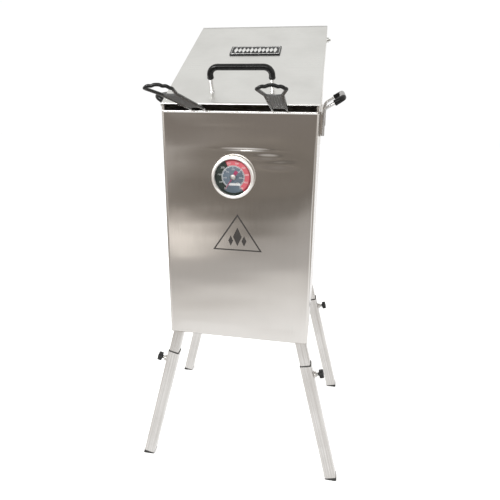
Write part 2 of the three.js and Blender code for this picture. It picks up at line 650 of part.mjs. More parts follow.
function mixerParts() {
  const { mouth, bell, spudHole } = VENTURI;
  const from = mouth + GAP;
  const to = from + SHUTTER.thickness;
  const disc = ring(spudHole, bell - 1, from, to, 24);
  const tab = block(-SHUTTER.tabHalf, SHUTTER.tabHalf, bell - 3, bell + SHUTTER.tabReach, from, to);
  part('air_shutter', cut(join(disc, tab), ...airHoles()), darkSteel(), mixer);
  const s = SPUD;
  const tip = mouth - s.inside;
  const shoulder = mouth + s.shoulder;
  const neck = mouth + s.neck;
  const nose = [[0, tip], [s.tip, tip], [s.radius, tip + 4]];
  const spud = [...nose, [s.radius, neck], [s.radius, shoulder], [0, shoulder]];
  const hex = rodAlong('z', s.hex, neck, shoulder, 6);
  const flare = rodAlong('z', s.flare, shoulder - 1, mouth + s.end, 16);
  const bore = rodAlong('z', s.bore, mouth + 4, mouth + s.end + THROUGH, 12);
  part('gas_orifice_fitting', cut(join(turned(spud, 16), hex, flare), bore), brass(), mixer);
}

// ---------------------------------------------------------------- drain
function drain() {
  const d = DRAIN;
  const v = VALVE;
  const low = v.z - v.half;
  const high = v.z + v.half;
  const body = rodAlong('z', v.radius, low, high, 16);
  const stem = rodAlong('y', v.stem, 5, v.stemEnd, 12, 0, v.z);
  const bore = rodAlong('z', d.bore, d.spoutEnd - THROUGH, high + THROUGH, 16);
  const cavity = new THREE.SphereGeometry(v.cavity, 16, 12).translate(0, 0, v.z);
  const stemBore = rodAlong('y', v.stemBore, 0, v.stemEnd + THROUGH, 12, 0, v.z);
  const spout = rodAlong('z', d.outer, d.spoutEnd, low + 1, 16);
  const valve = cut(join(body, stem, spout), bore, cavity, stemBore);
  part('drain_valve_body', valve.translate(d.x, d.y, 0), brass());
  const pipe = ring(d.bore, d.outer, high + GAP, VESSEL.floor - GAP, 16).translate(d.x, d.y, 0);
  part('drain_pipe', pipe, tubeSteel());
  const ball = new THREE.SphereGeometry(v.ball, 16, 12).translate(0, 0, v.z);
  const passage = rodAlong('x', d.bore, -v.radius, v.radius, 16, 0, v.z);
  const b = BALL_SLOT;
  const slot = block(-b.halfLength, b.halfLength, b.from, v.radius, v.z - b.halfWidth, v.z + b.halfWidth);
  part('drain_valve_ball', cut(ball, passage, slot).translate(d.x, d.y, 0), chrome());
  const l = LEVER;
  const shaft = rodAlong('y', l.shaft, l.shaftFrom, l.far + 2, 12, 0, v.z);
  const arm = block(-l.back, l.reach, l.near, l.far, v.z - l.halfHeight, v.z + l.halfHeight);
  part('drain_valve_lever', join(shaft, arm).translate(d.x, d.y, 0), material(0x8d1f1c, 0.55, 0.0));
}

// ---------------------------------------------------------------- baskets
function basketShell(side) {
  const b = BASKET;
  const x0 = side * b.x - b.halfWidth;
  const x1 = side * b.x + b.halfWidth;
  const outer = block(x0, x1, b.y0, b.y1, b.z0, b.z1);
  const w = b.wall;
  return cut(outer, block(x0 + w, x1 - w, b.y0 + w, b.y1 - w, b.z0 + w, b.z1 + THROUGH));
}

// Each handle is drawn about the foot of its wires, X across and -Y towards the user.
function basketHandle() {
  const g = GRIP;
  const leg = GRIP_LEG;
  const half = [
    [g.halfWire, 0, leg.bottom - leg.z], [g.halfWire, 0, 0], [g.halfWire, g.plateY - leg.y, g.plateZ - leg.z],
    [g.halfBar, g.barY - leg.y, g.barZ - leg.z],
  ];
  const right = half.map(([x, y, z]) => at(x, y, z));
  const left = half.map(([x, y, z]) => at(-x, y, z)).reverse();
  return bentTube([...right, ...left], g.bend, g.wire, 0, 4, 3);
}

// The pressed plate between the two wires, along the slope of the handle.
function basketPlate() {
  const g = GRIP;
  const p = GRIP_PLATE;
  const slope = Math.atan2(g.plateZ - GRIP_LEG.z, GRIP_LEG.y - g.plateY);
  const long = (GRIP_LEG.y - g.plateY) / Math.cos(slope);
  const halfWidth = g.halfWire - g.wire - GAP;
  const sheet = block(-halfWidth, halfWidth, -long + p.beforeEnd, -p.from, -p.half, p.half);
  const far = -long + p.ribBeforeEnd;
  const ribs = GRIP_RIBS.map((x) => block(x - p.ribHalf, x + p.ribHalf, far, -p.ribFrom, 0, p.ribTop));
  return join(sheet, ...ribs).rotateX(-slope);
}

function baskets() {
  for (const [side, word] of SIDES) {
    part(`basket_${word}`, basketShell(side), chrome());
    const handle = new THREE.Group();
    handle.position.set(side * BASKET.x, GRIP_LEG.y, GRIP_LEG.z);
    handle.rotation.z = GRIP_TURN[word];
    fryer.add(handle);
    part(`basket_handle_${word}`, basketHandle(), blackPlastic(), handle);
    part(`basket_handle_plate_${word}`, basketPlate(), darkSteel(), handle);
  }
}

shell();
vessel();
lidParts();
hingeFasteners();
SIDES.forEach(([side, word]) => sideHandle(side, word));
legs();
gaugeParts();
gaugeNeedle();
burner();
mixerParts();
drain();
baskets();

// The origin is on the floor under the middle of the whole outline.
fryer.updateMatrixWorld(true);
const extent = new THREE.Box3().setFromObject(fryer, true);
fryer.position.y = -(extent.min.y + extent.max.y) / 2;

export default fryer;
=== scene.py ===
import json
import math
import random

import bmesh
import bpy
from mathutils import Matrix, Vector, noise


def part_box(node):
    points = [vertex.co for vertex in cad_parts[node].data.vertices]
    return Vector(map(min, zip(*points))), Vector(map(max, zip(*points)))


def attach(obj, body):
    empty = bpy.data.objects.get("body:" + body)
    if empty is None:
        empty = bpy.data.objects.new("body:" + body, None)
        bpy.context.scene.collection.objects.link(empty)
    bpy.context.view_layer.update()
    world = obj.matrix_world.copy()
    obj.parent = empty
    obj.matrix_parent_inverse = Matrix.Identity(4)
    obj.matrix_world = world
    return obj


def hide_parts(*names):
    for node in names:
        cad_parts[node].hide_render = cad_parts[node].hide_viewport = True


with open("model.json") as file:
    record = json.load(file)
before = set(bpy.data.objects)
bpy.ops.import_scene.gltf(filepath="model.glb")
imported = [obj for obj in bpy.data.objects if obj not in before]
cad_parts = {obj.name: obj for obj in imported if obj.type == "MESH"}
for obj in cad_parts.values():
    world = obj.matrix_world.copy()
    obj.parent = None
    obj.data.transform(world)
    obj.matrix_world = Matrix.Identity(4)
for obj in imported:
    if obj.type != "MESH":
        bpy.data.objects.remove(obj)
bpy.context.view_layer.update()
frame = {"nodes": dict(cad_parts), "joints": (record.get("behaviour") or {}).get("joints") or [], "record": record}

# Looks of a free-standing outdoor deep fryer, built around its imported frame.
# Lengths below are in millimetres, in the local axes that each section names. MM turns them into metres.
MM = 0.001
nodes = frame["nodes"]
record = frame["record"]
joints = {joint["name"]: joint for joint in frame["joints"]}
mounts = {mount["name"]: Vector(mount["pos_m"]) for mount in record["mounts"]}
scene = bpy.context.scene
SIDES = ((-1, "left"), (1, "right"))
CORNERS = [(side, end, f"{end_word}_{side_word}")
           for end, end_word in ((-1, "front"), (1, "rear")) for side, side_word in SIDES]
X, Y, Z = Vector((1, 0, 0)), Vector((0, 1, 0)), Vector((0, 0, 1))


# ------------------------------------------------------------------ camera
CAMERA_PLACE = Vector((0.1722, -1.0160, 0.9223))
CAMERA_DOWN = math.radians(18.05)
CAMERA_LEFT = math.radians(11.25)
CAMERA_ROLL = math.radians(-0.2)
FOCAL_MM = 35.14
SENSOR_MM = 36.0
SHIFT = (0.038, -0.0524)


def make_camera():
    data = bpy.data.cameras.new("camera")
    data.sensor_width = SENSOR_MM
    data.lens = FOCAL_MM
    data.shift_x, data.shift_y = SHIFT
    camera = bpy.data.objects.new("camera", data)
    scene.collection.objects.link(camera)
    turn = Matrix.Rotation(CAMERA_LEFT, 4, "Z") @ Matrix.Rotation(math.pi / 2 - CAMERA_DOWN, 4, "X")
    camera.matrix_world = Matrix.Translation(CAMERA_PLACE) @ turn @ Matrix.Rotation(CAMERA_ROLL, 4, "Z")
    scene.camera = camera


make_camera()


# ------------------------------------------------------------------ shader helpers
class Shading:
    """Short calls for the nodes of one shader tree."""

    def __init__(self, tree):
        self.tree = tree

    def feed(self, socket, value):
        if isinstance(value, bpy.types.NodeSocket):
            self.tree.links.new(value, socket)
        else:
            socket.default_value = value

    def add(self, kind, **inputs):
        node = self.tree.nodes.new(f"ShaderNode{kind}")
        for socket, value in inputs.items():
            self.feed(node.inputs[socket.replace("_", " ")], value)
        return node

    def spread(self, value, low, high, from_low=0.3, from_high=0.7, easing="LINEAR"):
        """value taken from one range to another, held at the ends."""
        node = self.add("MapRange", Value=value, From_Min=from_low, From_Max=from_high)
        self.feed(node.inputs["To Min"], low)
        self.feed(node.inputs["To Max"], high)
        node.interpolation_type = easing
        return node.outputs["Result"]

    def blend(self, share, first, second):
        node = self.add("Mix")
        node.data_type = "RGBA"
        for socket, value in (("Factor", share), ("A", first), ("B", second)):
            self.feed(node.inputs[socket], value)
        return node.outputs["Result"]

    def maths(self, operation, *values):
        node = self.add("Math")
        node.operation = operation
        for socket, value in zip(node.inputs, values):
            self.feed(socket, value)
        return node.outputs[0]

    def ramp(self, share, stops):
        """Tones along a share from 0 to 1, from (place, tone) stops."""
        node = self.add("ValToRGB", Fac=share)
        elements = node.color_ramp.elements
        while len(elements) < len(stops):
            elements.new(0.5)
        for element, (place, tone) in zip(elements, stops):
            element.position = place
            element.color = rgb(*tone)
        return node.outputs[0]

    def mixed(self, share, first, second):
        """Two shader nodes in one, by a share of the second."""
        node = self.add("MixShader", Fac=share)
        self.feed(node.inputs[1], first.outputs[0])
        self.feed(node.inputs[2], second.outputs[0])
        return node.outputs[0]


class Look(Shading):
    """A Principled material."""

    def __init__(self, name, **values):
        self.material = bpy.data.materials.new(name)
        self.material.use_nodes = True
        super().__init__(self.material.node_tree)
        self.shader = self.tree.nodes["Principled BSDF"]
        self.surface = self.tree.nodes["Material Output"].inputs["Surface"]
        self.place = self.add("TexCoord").outputs["Object"]
        self.set(**values)

    def set(self, **values):
        for socket, value in values.items():
            self.feed(self.shader.inputs[socket.replace("_", " ")], value)

    def noise(self, per_metre, detail=3.0, roughness=0.5):
        """Noise with one frequency in cycles a metre, or with its own along each axis."""
        scale = per_metre if isinstance(per_metre, tuple) else (per_metre,) * 3
        stretch = self.add("Mapping", Vector=self.place, Scale=scale).outputs[0]
        made = self.add("TexNoise", Vector=stretch, Scale=1.0, Detail=detail, Roughness=roughness)
        return made.outputs["Fac"]

    def finish(self, shade, rough, height, depth_mm, strength=1.0):
        """The material with its tone, its roughness and a fine relief."""
        bump = self.add("Bump", Height=height, Distance=depth_mm * MM, Strength=strength)
        self.set(Base_Color=shade, Roughness=rough, Normal=bump.outputs["Normal"])
        return self.material


def rgb(red, green, blue):
    return (red, green, blue, 1.0)


def along(axis, slow, fast):
    """Cycles a metre that are few along one axis and many across it."""
    return tuple(slow if index == axis else fast for index in range(3))


# ------------------------------------------------------------------ materials
def brushed(name, axis, tone, dark_tone, roughness, blotch=0.35, streak=0.5, grain_mm=0.006):
    """Sheet or tube brushed along one axis, with streaks, faint smears and fine scratches."""
    look = Look(name, Metallic=1.0)
    grain = look.noise(along(axis, 18, 2400), 4.0, 0.65)
    lines = look.noise(along(axis, 2.5, 420), 4.0, 0.6)
    smear = look.noise(9, 4.0, 0.55)
    shade = look.blend(look.spread(lines, 0.0, streak), tone, dark_tone)
    shade = look.blend(look.spread(smear, 0.0, blotch, 0.42, 0.72), shade, dark_tone)
    scratches = look.spread(grain, -0.03, 0.04)
    rough = look.maths("ADD", scratches, look.spread(smear, roughness - 0.02, roughness + 0.04))
    return look.finish(shade, rough, grain, grain_mm)


def polished(name, tone, roughness, pitting=0.25, pit_mm=0.002):
    look = Look(name, Metallic=1.0)
    haze = look.noise(110, 4.0)
    pits = look.noise(1500, 2.0)
    shade = look.blend(look.spread(haze, 0.0, pitting, 0.5, 0.75), tone, rgb(0.52, 0.50, 0.47))
    rough = look.spread(haze, roughness, roughness + 0.12, 0.4, 0.8)
    return look.finish(shade, rough, pits, pit_mm)


def moulded(name, tone, worn_tone, roughness, pebble_mm=0.03, per_metre=900):
    """Black plastic, rubber or vinyl: a fine pebble, dust in the hollows and rubbed edges."""
    look = Look(name, Specular_IOR_Level=0.22)
    pebble = look.noise(per_metre, 3.0)
    dust = look.noise(55, 5.0, 0.6)
    edge = look.spread(look.add("NewGeometry").outputs["Pointiness"], 0.0, 0.8, 0.52, 0.6)
    shade = look.blend(look.spread(dust, 0.0, 0.5, 0.45, 0.8), tone, worn_tone)
    shade = look.blend(edge, shade, worn_tone)
    rough = look.spread(dust, roughness - 0.06, roughness + 0.1)
    return look.finish(shade, rough, pebble, pebble_mm, 0.6)


def cast_iron():
    look = Look("cast_iron", Metallic=0.6)
    grit = look.noise(420, 6.0, 0.65)
    heat = look.noise(26, 4.0)
    rust = look.spread(heat, 0.0, 0.85, 0.45, 0.68)
    shade = look.blend(rust, rgb(0.045, 0.043, 0.042), rgb(0.19, 0.085, 0.045))
    rough = look.spread(grit, 0.6, 0.85)
    return look.finish(shade, rough, grit, 0.5, 0.7)


def oiled_steel():
    look = Look("oiled_steel", Metallic=1.0)
    film = look.noise((14, 14, 7), 5.0, 0.6)
    grain = look.noise(along(0, 20, 1800), 3.0)
    shade = look.blend(look.spread(film, 0.0, 0.9, 0.42, 0.7), rgb(0.30, 0.28, 0.25), rgb(0.12, 0.075, 0.035))
    rough = look.spread(film, 0.30, 0.5)
    return look.finish(shade, rough, grain, 0.012)


def brass():
    look = Look("brass", Metallic=1.0)
    tarnish = look.noise(90, 4.0)
    turning = look.noise((700, 2200, 2200), 2.0)
    shade = look.blend(look.spread(tarnish, 0.0, 0.8), rgb(0.70, 0.52, 0.24), rgb(0.36, 0.24, 0.11))
    rough = look.spread(tarnish, 0.22, 0.42)
    return look.finish(shade, rough, turning, 0.01)


def printed(name, tone, roughness=0.45):
    """Ink on the dial: a slight stipple in the tone and a faint orange peel."""
    look = Look(name)
    stipple = look.noise(1600, 2.0)
    darker = rgb(*(0.82 * value for value in tone[:3]))
    shade = look.blend(look.spread(stipple, 0.0, 0.6), tone, darker)
    rough = look.spread(stipple, roughness, roughness + 0.1)
    return look.finish(shade, rough, stipple, 0.01, 0.4)


def etched():
    """The dulled steel of an etched mark."""
    look = Look("etched_mark", Metallic=0.85)
    fine = look.noise(1300, 3.0)
    shade = look.blend(look.spread(fine, 0.0, 1.0), rgb(0.045, 0.042, 0.04), rgb(0.08, 0.075, 0.07))
    rough = look.spread(fine, 0.5, 0.65)
    return look.finish(shade, rough, fine, 0.02, 0.5)


def clear_glass():
    """Thin glass: clear but for what its surface reflects, with faint dust."""
    look = Look("gauge_glass")
    clear = look.add("BsdfTransparent")
    dust = look.noise(300, 4.0)
    shine = look.add("BsdfGlossy", Color=rgb(1, 1, 1), Roughness=look.spread(dust, 0.02, 0.09, 0.5, 0.8))
    mirror = look.add("Fresnel", IOR=1.5).outputs[0]
    look.feed(look.surface, look.mixed(mirror, clear, shine))
    look.tree.nodes.remove(look.shader)
    return look.material


STEEL = rgb(0.715, 0.69, 0.66)
STEEL_SHADE = rgb(0.655, 0.63, 0.60)
LID_STEEL = rgb(0.79, 0.785, 0.765)
LID_SHADE = rgb(0.68, 0.675, 0.655)
TUBE_STEEL = rgb(0.74, 0.725, 0.705)
TUBE_SHADE = rgb(0.52, 0.495, 0.47)
DARK_STEEL = rgb(0.34, 0.32, 0.30)
DARK_SHADE = rgb(0.22, 0.17, 0.13)

panel_steel = brushed("panel_steel", 2, STEEL, STEEL_SHADE, 0.11, blotch=0.3, streak=0.25)
side_steel = brushed("side_steel", 2, STEEL, STEEL_SHADE, 0.2, blotch=0.35, streak=0.3)
lid_steel = brushed("lid_steel", 0, LID_STEEL, LID_SHADE, 0.3, blotch=0.9, streak=0.3)
tube_steel = brushed("tube_steel", 2, TUBE_STEEL, TUBE_SHADE, 0.24, blotch=0.9, streak=0.9)
dark_steel = brushed("dark_steel", 0, DARK_STEEL, DARK_SHADE, 0.45, blotch=0.8, streak=0.6)
vessel_steel = oiled_steel()
hem_steel = polished("hem_steel", rgb(0.97, 0.96, 0.94), 0.2, pitting=0.1, pit_mm=0.0005)
rod_chrome = polished("rod_chrome", rgb(0.62, 0.615, 0.61), 0.2, pitting=0.12, pit_mm=0.0005)
bezel_chrome = polished("bezel_chrome", rgb(0.99, 0.97, 0.94), 0.34, pitting=0.08)
zinc = polished("zinc", rgb(0.70, 0.70, 0.68), 0.2, pitting=0.5)
basket_plating = polished("basket_plating", rgb(0.70, 0.67, 0.61), 0.18, pitting=0.7)
weld_metal = polished("weld_metal", rgb(0.50, 0.45, 0.40), 0.35, pitting=0.9)
sleeve_rubber = moulded("sleeve_rubber", rgb(0.003, 0.003, 0.003), rgb(0.012, 0.012, 0.012), 0.2, 0.006, 500)
wire_coating = moulded("wire_coating", rgb(0.003, 0.003, 0.003), rgb(0.014, 0.014, 0.014), 0.2, 0.006, 500)
knob_plastic = moulded("knob_plastic", rgb(0.010, 0.010, 0.010), rgb(0.035, 0.035, 0.034), 0.42)
foot_rubber = moulded("foot_rubber", rgb(0.012, 0.012, 0.013), rgb(0.05, 0.048, 0.045), 0.7, 0.06)
plate_paint = moulded("plate_paint", rgb(0.042, 0.042, 0.042), rgb(0.11, 0.11, 0.108), 0.34, 0.02, 1200)
badge_black = moulded("badge_black", rgb(0.006, 0.006, 0.007), rgb(0.02, 0.02, 0.02), 0.25, 0.01, 500)
badge_silver = polished("badge_silver", rgb(0.90, 0.90, 0.89), 0.22)
case_paint = moulded("case_paint", rgb(0.27, 0.26, 0.25), rgb(0.42, 0.41, 0.40), 0.4, 0.02)
red_vinyl = moulded("red_vinyl", rgb(0.36, 0.018, 0.014), rgb(0.45, 0.06, 0.05), 0.36, 0.02)
burner_iron = cast_iron()
brass_metal = brass()
dial_blue = printed("dial_blue", rgb(0.15, 0.205, 0.26))
dial_dark = printed("dial_dark", rgb(0.010, 0.030, 0.024))
dial_red = printed("dial_red", rgb(0.86, 0.17, 0.21))
# A darker red: painted shade from the rim on the red band's outer part
dial_red_rim_shade = printed("dial_red_rim_shade", rgb(0.52, 0.045, 0.07))
dial_white = printed("dial_white", rgb(0.90, 0.91, 0.90))
needle_red = printed("needle_red", rgb(0.48, 0.05, 0.15), 0.3)
mark_etch = etched()
glass = clear_glass()


# ------------------------------------------------------------------ mesh helpers
def piece(name, shape, look, body, place=None, smooth=38.0, replaces=(), looks=None):
    """A mesh from (points, faces) in millimetres of its own axes, riding on a body."""
    points, faces = shape
    mesh = bpy.data.meshes.new(name)
    mesh.from_pydata([Vector(point) * MM for point in points], [], faces)
    work = bmesh.new()
    work.from_mesh(mesh)
    bmesh.ops.recalc_face_normals(work, faces=work.faces)
    work.to_mesh(mesh)
    work.free()
    mesh.shade_smooth()
    mesh.set_sharp_from_angle(angle=math.radians(smooth))
    for material in looks or [look]:
        mesh.materials.append(material)
    obj = bpy.data.objects.new(name, mesh)
    scene.collection.objects.link(obj)
    if place is not None:
        obj.matrix_world = place
    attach(obj, body)
    if replaces:
        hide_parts(*replaces)
    return obj


def together(*shapes):
    """Several (points, faces) as one."""
    points, faces = [], []
    for shape in shapes:
        start = len(points)
        points.extend(shape[0])
        faces.extend([[start + index for index in face] for face in shape[1]])
    return points, faces


def moved(shape, matrix):
    return [matrix @ Vector(point) for point in shape[0]], shape[1]


def shifted(shape, x=0.0, y=0.0, z=0.0):
    return moved(shape, Matrix.Translation((x, y, z)))


def axes(origin, x, y, z):
    """Local axes as a matrix, with their origin in metres."""
    matrix = Matrix((x, y, z)).transposed().to_4x4()
    matrix.translation = origin
    return matrix


def polar(radius, angle):
    return radius * math.cos(angle), radius * math.sin(angle)


def circle(count):
    """Cosine and sine of directions spaced evenly all the way round."""
    return [polar(1.0, 2 * math.pi * index / count) for index in range(count)]


def quarter(steps):
    """Cosine and sine along a quarter turn, both ends included."""
    return [polar(1.0, math.pi / 2 * step / steps) for step in range(steps + 1)]


def grid_faces(rows, columns):
    """Faces of a grid of cells whose points are listed row by row."""
    width = columns + 1
    cells = [row * width + column for row in range(rows) for column in range(columns)]
    return [[cell, cell + 1, cell + width + 1, cell + width] for cell in cells]


def rings_to_shape(rings, looped=False):
    """Skin over a row of equal closed rings of points, with an end cap at both ends unless it is looped."""
    count = len(rings[0])
    points = [point for ring in rings for point in ring]
    faces = []
    for ring in range(len(rings) if looped else len(rings) - 1):
        low = ring * count
        high = (ring + 1) % len(rings) * count
        for index in range(count):
            after = (index + 1) % count
            faces.append([low + index, low + after, high + after, high + index])
    if not looped:
        faces.append(list(range(count))[::-1])
        faces.append([(len(rings) - 1) * count + index for index in range(count)])
    return points, faces


def rounded_path(corners, bend, steps=6, closed=False):
    """A line through corners, with each inner corner turned into an arc."""
    corners = [Vector(corner) for corner in corners]
    count = len(corners)
    path = [] if closed else [corners[0]]
    for index in range(count) if closed else range(1, count - 1):
        corner = corners[index]
        before = (corners[index - 1] - corner).normalized()
        after = (corners[(index + 1) % count] - corner).normalized()
        half = before.angle(after) / 2
        centre = corner + (before + after).normalized() * bend / math.sin(half)
        start = corner + before * bend / math.tan(half) - centre
        end = corner + after * bend / math.tan(half) - centre
        sweep = start.angle(end)
        for step in range(steps + 1):
            share = step / steps
            first = math.sin((1 - share) * sweep) / math.sin(sweep)
            second = math.sin(share * sweep) / math.sin(sweep)
            path.append(centre + start * first + end * second)
    if not closed:
        path.append(corners[-1])
    return path


def carried(path, closed=False):
    """Two directions across the path at each of its points, kept from twisting."""
    count = len(path)
    tangents = []
    for index in range(count):
        before = path[index - 1] if index or closed else path[0]
        after = path[(index + 1) % count] if index < count - 1 or closed else path[-1]
        into = (path[index] - before).normalized()
        out = (after - path[index]).normalized()
        tangents.append((into + out).normalized())
    spare = X if abs(tangents[0].x) < 0.8 else Y
    side = tangents[0].cross(spare).normalized()
    across = []
    for index in range(count):
        if index:
            side = tangents[index - 1].rotation_difference(tangents[index]) @ side
        side = (side - tangents[index] * side.dot(tangents[index])).normalized()
        across.append((side, tangents[index].cross(side)))
    return across


def tube(path, radius, sides=16, closed=False, end_round=0.0):
    """A round bar along a path. end_round pulls its two ends in, as a rounded edge of that size."""
    path = [Vector(point) for point in path]
    radii = [radius] * len(path)
    if end_round and not closed:
        path, radii = rounded_ends(path, radius, end_round)
    rings = []
    for (side, up), point, size in zip(carried(path, closed), path, radii):
        rings.append([point + (side * cosine + up * sine) * size for cosine, sine in circle(sides)])
    return rings_to_shape(rings, looped=closed)


def rounded_ends(path, radius, size, steps=3):
    """Extra points at both ends of a path, with radii that round the ends over."""
    into = (path[1] - path[0]).normalized()
    back = (path[-2] - path[-1]).normalized()
    curve = quarter(steps)
    first = [path[0] + into * size * (1 - sine) for _, sine in reversed(curve)]
    last = [path[-1] + back * size * (1 - sine) for _, sine in curve]
    small = [radius - size * (1 - cosine) for cosine, _ in curve]
    return first + path[1:-1] + last, small[::-1] + [radius] * (len(path) - 2) + small


def turned(profile, segments=48, closed=False):
    """A piece turned about local Z from [radius, height] points."""
    rings = [[(radius * cosine, radius * sine, height) for radius, height in profile]
             for cosine, sine in circle(segments)]
    if closed:
        return rings_to_shape(rings, looped=True)
    points = [point for ring in rings + rings[:1] for point in ring]
    return weld((points, grid_faces(segments, len(profile) - 1)))


def weld(shape, within=1e-4):
    """The shape with points that coincide joined, and faces without area dropped."""
    found, order, index_of = {}, [], []
    for point in shape[0]:
        key = tuple(round(value / within) for value in point)
        if key not in found:
            found[key] = len(order)
            order.append(point)
        index_of.append(found[key])
    faces = []
    for face in shape[1]:
        kept = []
        for index in face:
            if index_of[index] not in kept:
                kept.append(index_of[index])
        if len(kept) > 2:
            faces.append(kept)
    return order, faces


def softened(outline, rounding, low, high, steps=2):
    """A prism from low to high on local Z over a closed outline, with its top and bottom edges rounded."""
    middle = sum((Vector((*point, 0)) for point in outline), Vector()) / len(outline)
    edge = [(1 - sine, rounding * (1 - cosine)) for cosine, sine in quarter(steps)]
    levels = [(inset, low + rise) for inset, rise in edge]
    levels += [(inset, high - rise) for inset, rise in reversed(edge)]
    rings = []
    for inset, height in levels:
        ring = []
        for point in outline:
            flat = Vector((*point, 0))
            pull = (middle - flat).normalized() * rounding * inset
            ring.append((flat.x + pull.x, flat.y + pull.y, height))
        rings.append(ring)
    return rings_to_shape(rings)


def rounded_rectangle(half_x, half_y, radius, steps=4, centre=(0.0, 0.0)):
    outline = []
    for turn, (sx, sy) in enumerate(((1, 1), (-1, 1), (-1, -1), (1, -1))):
        for step in range(steps + 1):
            x, y = polar(radius, math.pi / 2 * (turn + step / steps))
            outline.append((centre[0] + sx * (half_x - radius) + x, centre[1] + sy * (half_y - radius) + y))
    return outline


def square_ring(half, corner, height):
    return [(x, y, height) for x, y in rounded_rectangle(half, half, corner, 5)]


def hex_outline(across_flats, segments=36):
    outline = []
    for index in range(segments):
        angle = 2 * math.pi * index / segments
        outline.append(polar(across_flats / 2 / math.cos(angle % (math.pi / 3) - math.pi / 6), angle))
    return outline


def hex_nut(across_flats, low, high, hole=0.0):
    """A hexagon whose corners are turned off at both ends, as a nut or a bolt head has."""
    outline = hex_outline(across_flats)
    chamfer = across_flats / 2 * 1.02
    drop = across_flats * 0.07

    def ring(height, size):
        made = []
        for x, y in outline:
            out = Vector((x, y, 0)).normalized() * size(math.hypot(x, y))
            made.append(out + Vector((0, 0, height)))
        return made

    def clipped(distance):
        return min(distance, chamfer)

    rings = [ring(low, clipped), ring(low + drop, float), ring(high - drop, float), ring(high, clipped)]
    if not hole:
        return rings_to_shape(rings)
    for height, radius in ((high, hole + 0.4), (high - 0.4, hole), (low + 0.4, hole), (low, hole + 0.4)):
        rings.append(ring(height, lambda _, bore=radius: bore))
    return rings_to_shape(rings, looped=True)


def threaded(radius, pitch, low, high, segments=24):
    """A round bar with thread-like grooves and a chamfered far end."""
    depth = pitch * 0.45
    profile = [(0.0, low), (radius, low)]
    height = low + pitch / 2
    while height < high - pitch:
        profile.extend([(radius - depth, height), (radius, height + pitch / 2)])
        height += pitch
    profile.extend([(radius - depth, high - pitch / 2), (radius - depth - 0.3, high), (0.0, high)])
    return turned(profile, segments)


def along_x(side):
    """Local Z turned to point along world X, outwards on that side."""
    return Matrix.Rotation(side * math.pi / 2, 4, "Y")


def bevelled(node, look, width_mm):
    """A CAD node that keeps its shape, with its sharp edges eased and a better material."""
    obj = nodes[node]
    obj.data.materials.clear()
    obj.data.materials.append(look)
    ease = obj.modifiers.new("eased_edges", "BEVEL")
    ease.width = width_mm * MM
    ease.segments = 2
    ease.limit_method = "ANGLE"
    ease.angle_limit = math.radians(40)


def sheet_wave(u, v, seed, size_mm):
    """How far real thin sheet stands off flat at a place on it, in millimetres."""
    wide = noise.noise(Vector((u / 240, (v + 0.12 * u) / 90, seed)))
    close = noise.noise(Vector((u / 190, (v - 0.1 * u) / 34, seed + 9.3)))
    return size_mm * (wide + 0.22 * close)


def solid_sheet(obj, thickness_mm, offset=-1.0):
    """Gives a skin the thickness of its sheet, inwards from the modelled face."""
    thick = obj.modifiers.new("sheet", "SOLIDIFY")
    thick.thickness = thickness_mm * MM
    thick.offset = offset
    thick.use_even_offset = True


SHEET_MM = 1.2


# ------------------------------------------------------------------ front panel
panel_low, panel_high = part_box("front_panel")
needle_pivot = Vector(joints["needle_turn"]["pos_m"])
HEM_RADIUS, HEM_CENTRE = 1.8, 0.6
PANEL_FACE = panel_low.y / MM + HEM_RADIUS - HEM_CENTRE  # the hem stands proud of the face
PANEL_HALF = panel_high.x / MM
PANEL_BOTTOM = panel_low.z / MM
PANEL_TOP = panel_high.z / MM
HEM_HALF = PANEL_HALF - SHEET_MM - 0.3
GAUGE = axes(Vector((needle_pivot.x, PANEL_FACE * MM, needle_pivot.z)), X, Z, -Y)
# Creases across the sheet over the thermometer: height, left end, right end, depth, width.
CREASES = ((764.5, -24.0, 54.0, 1.1, 2.3), (751.0, 36.0, 84.0, 0.9, 5.0), (737.0, 48.0, 110.0, 0.9, 8.0))
NUT_PULL, NUT_REACH = 0.5, 62.0  # how far the thermometer's nut draws the sheet in, and how far around
SHEET_DISH, DISH_REACH = 1.0, 125.0  # the whole panel's hollow between its stiff folded edges
CREASED = (715.0, 775.0)
FINE_ROW, COARSE_ROW = 0.8, 3.2


def hollow(depth, away, reach):
    """A depth that fades smoothly with distance."""
    return depth * math.exp(-(away / reach) ** 2)


def crease_depth(x, z):
    depth = 0.0
    for height, left, right, size, width in CREASES:
        fade = hollow(1.0, x - (left + right) / 2, (right - left) / 2)
        depth += hollow(size * fade, z - height, width)
    return depth


def panel_wave(x, z):
    """The panel's own waviness, pulled in where the thermometer's nut draws on it."""
    away = math.hypot(x - needle_pivot.x / MM, z - needle_pivot.z / MM)
    dish = hollow(NUT_PULL, away, NUT_REACH) + hollow(SHEET_DISH, away, DISH_REACH)
    edge = min(1.0, (PANEL_HALF - abs(x)) / 30, (z - PANEL_BOTTOM) / 30, (PANEL_TOP - z) / 30)
    return (sheet_wave(x, z, 4.1, 1.15) + dish + crease_depth(x, z)) * max(0.0, edge)


def hem_profile():
    """Y and Z of the panel's section: up the face and round the rolled hem."""
    centre_y = PANEL_FACE + HEM_CENTRE
    centre_z = PANEL_TOP - HEM_RADIUS
    top_of_face = centre_z - HEM_RADIUS - 0.4
    heights = []
    height = PANEL_BOTTOM
    while height < top_of_face - FINE_ROW:
        heights.append(height)
        height += FINE_ROW if CREASED[0] < height < CREASED[1] else COARSE_ROW
    heights.append(top_of_face)
    rows = len(heights) - 1
    profile = [(PANEL_FACE, height) for height in heights]
    for step in range(15):
        y, z = polar(HEM_RADIUS, math.radians(215 - 21 * step))
        profile.append((centre_y + y, centre_z + z))
    return profile, rows


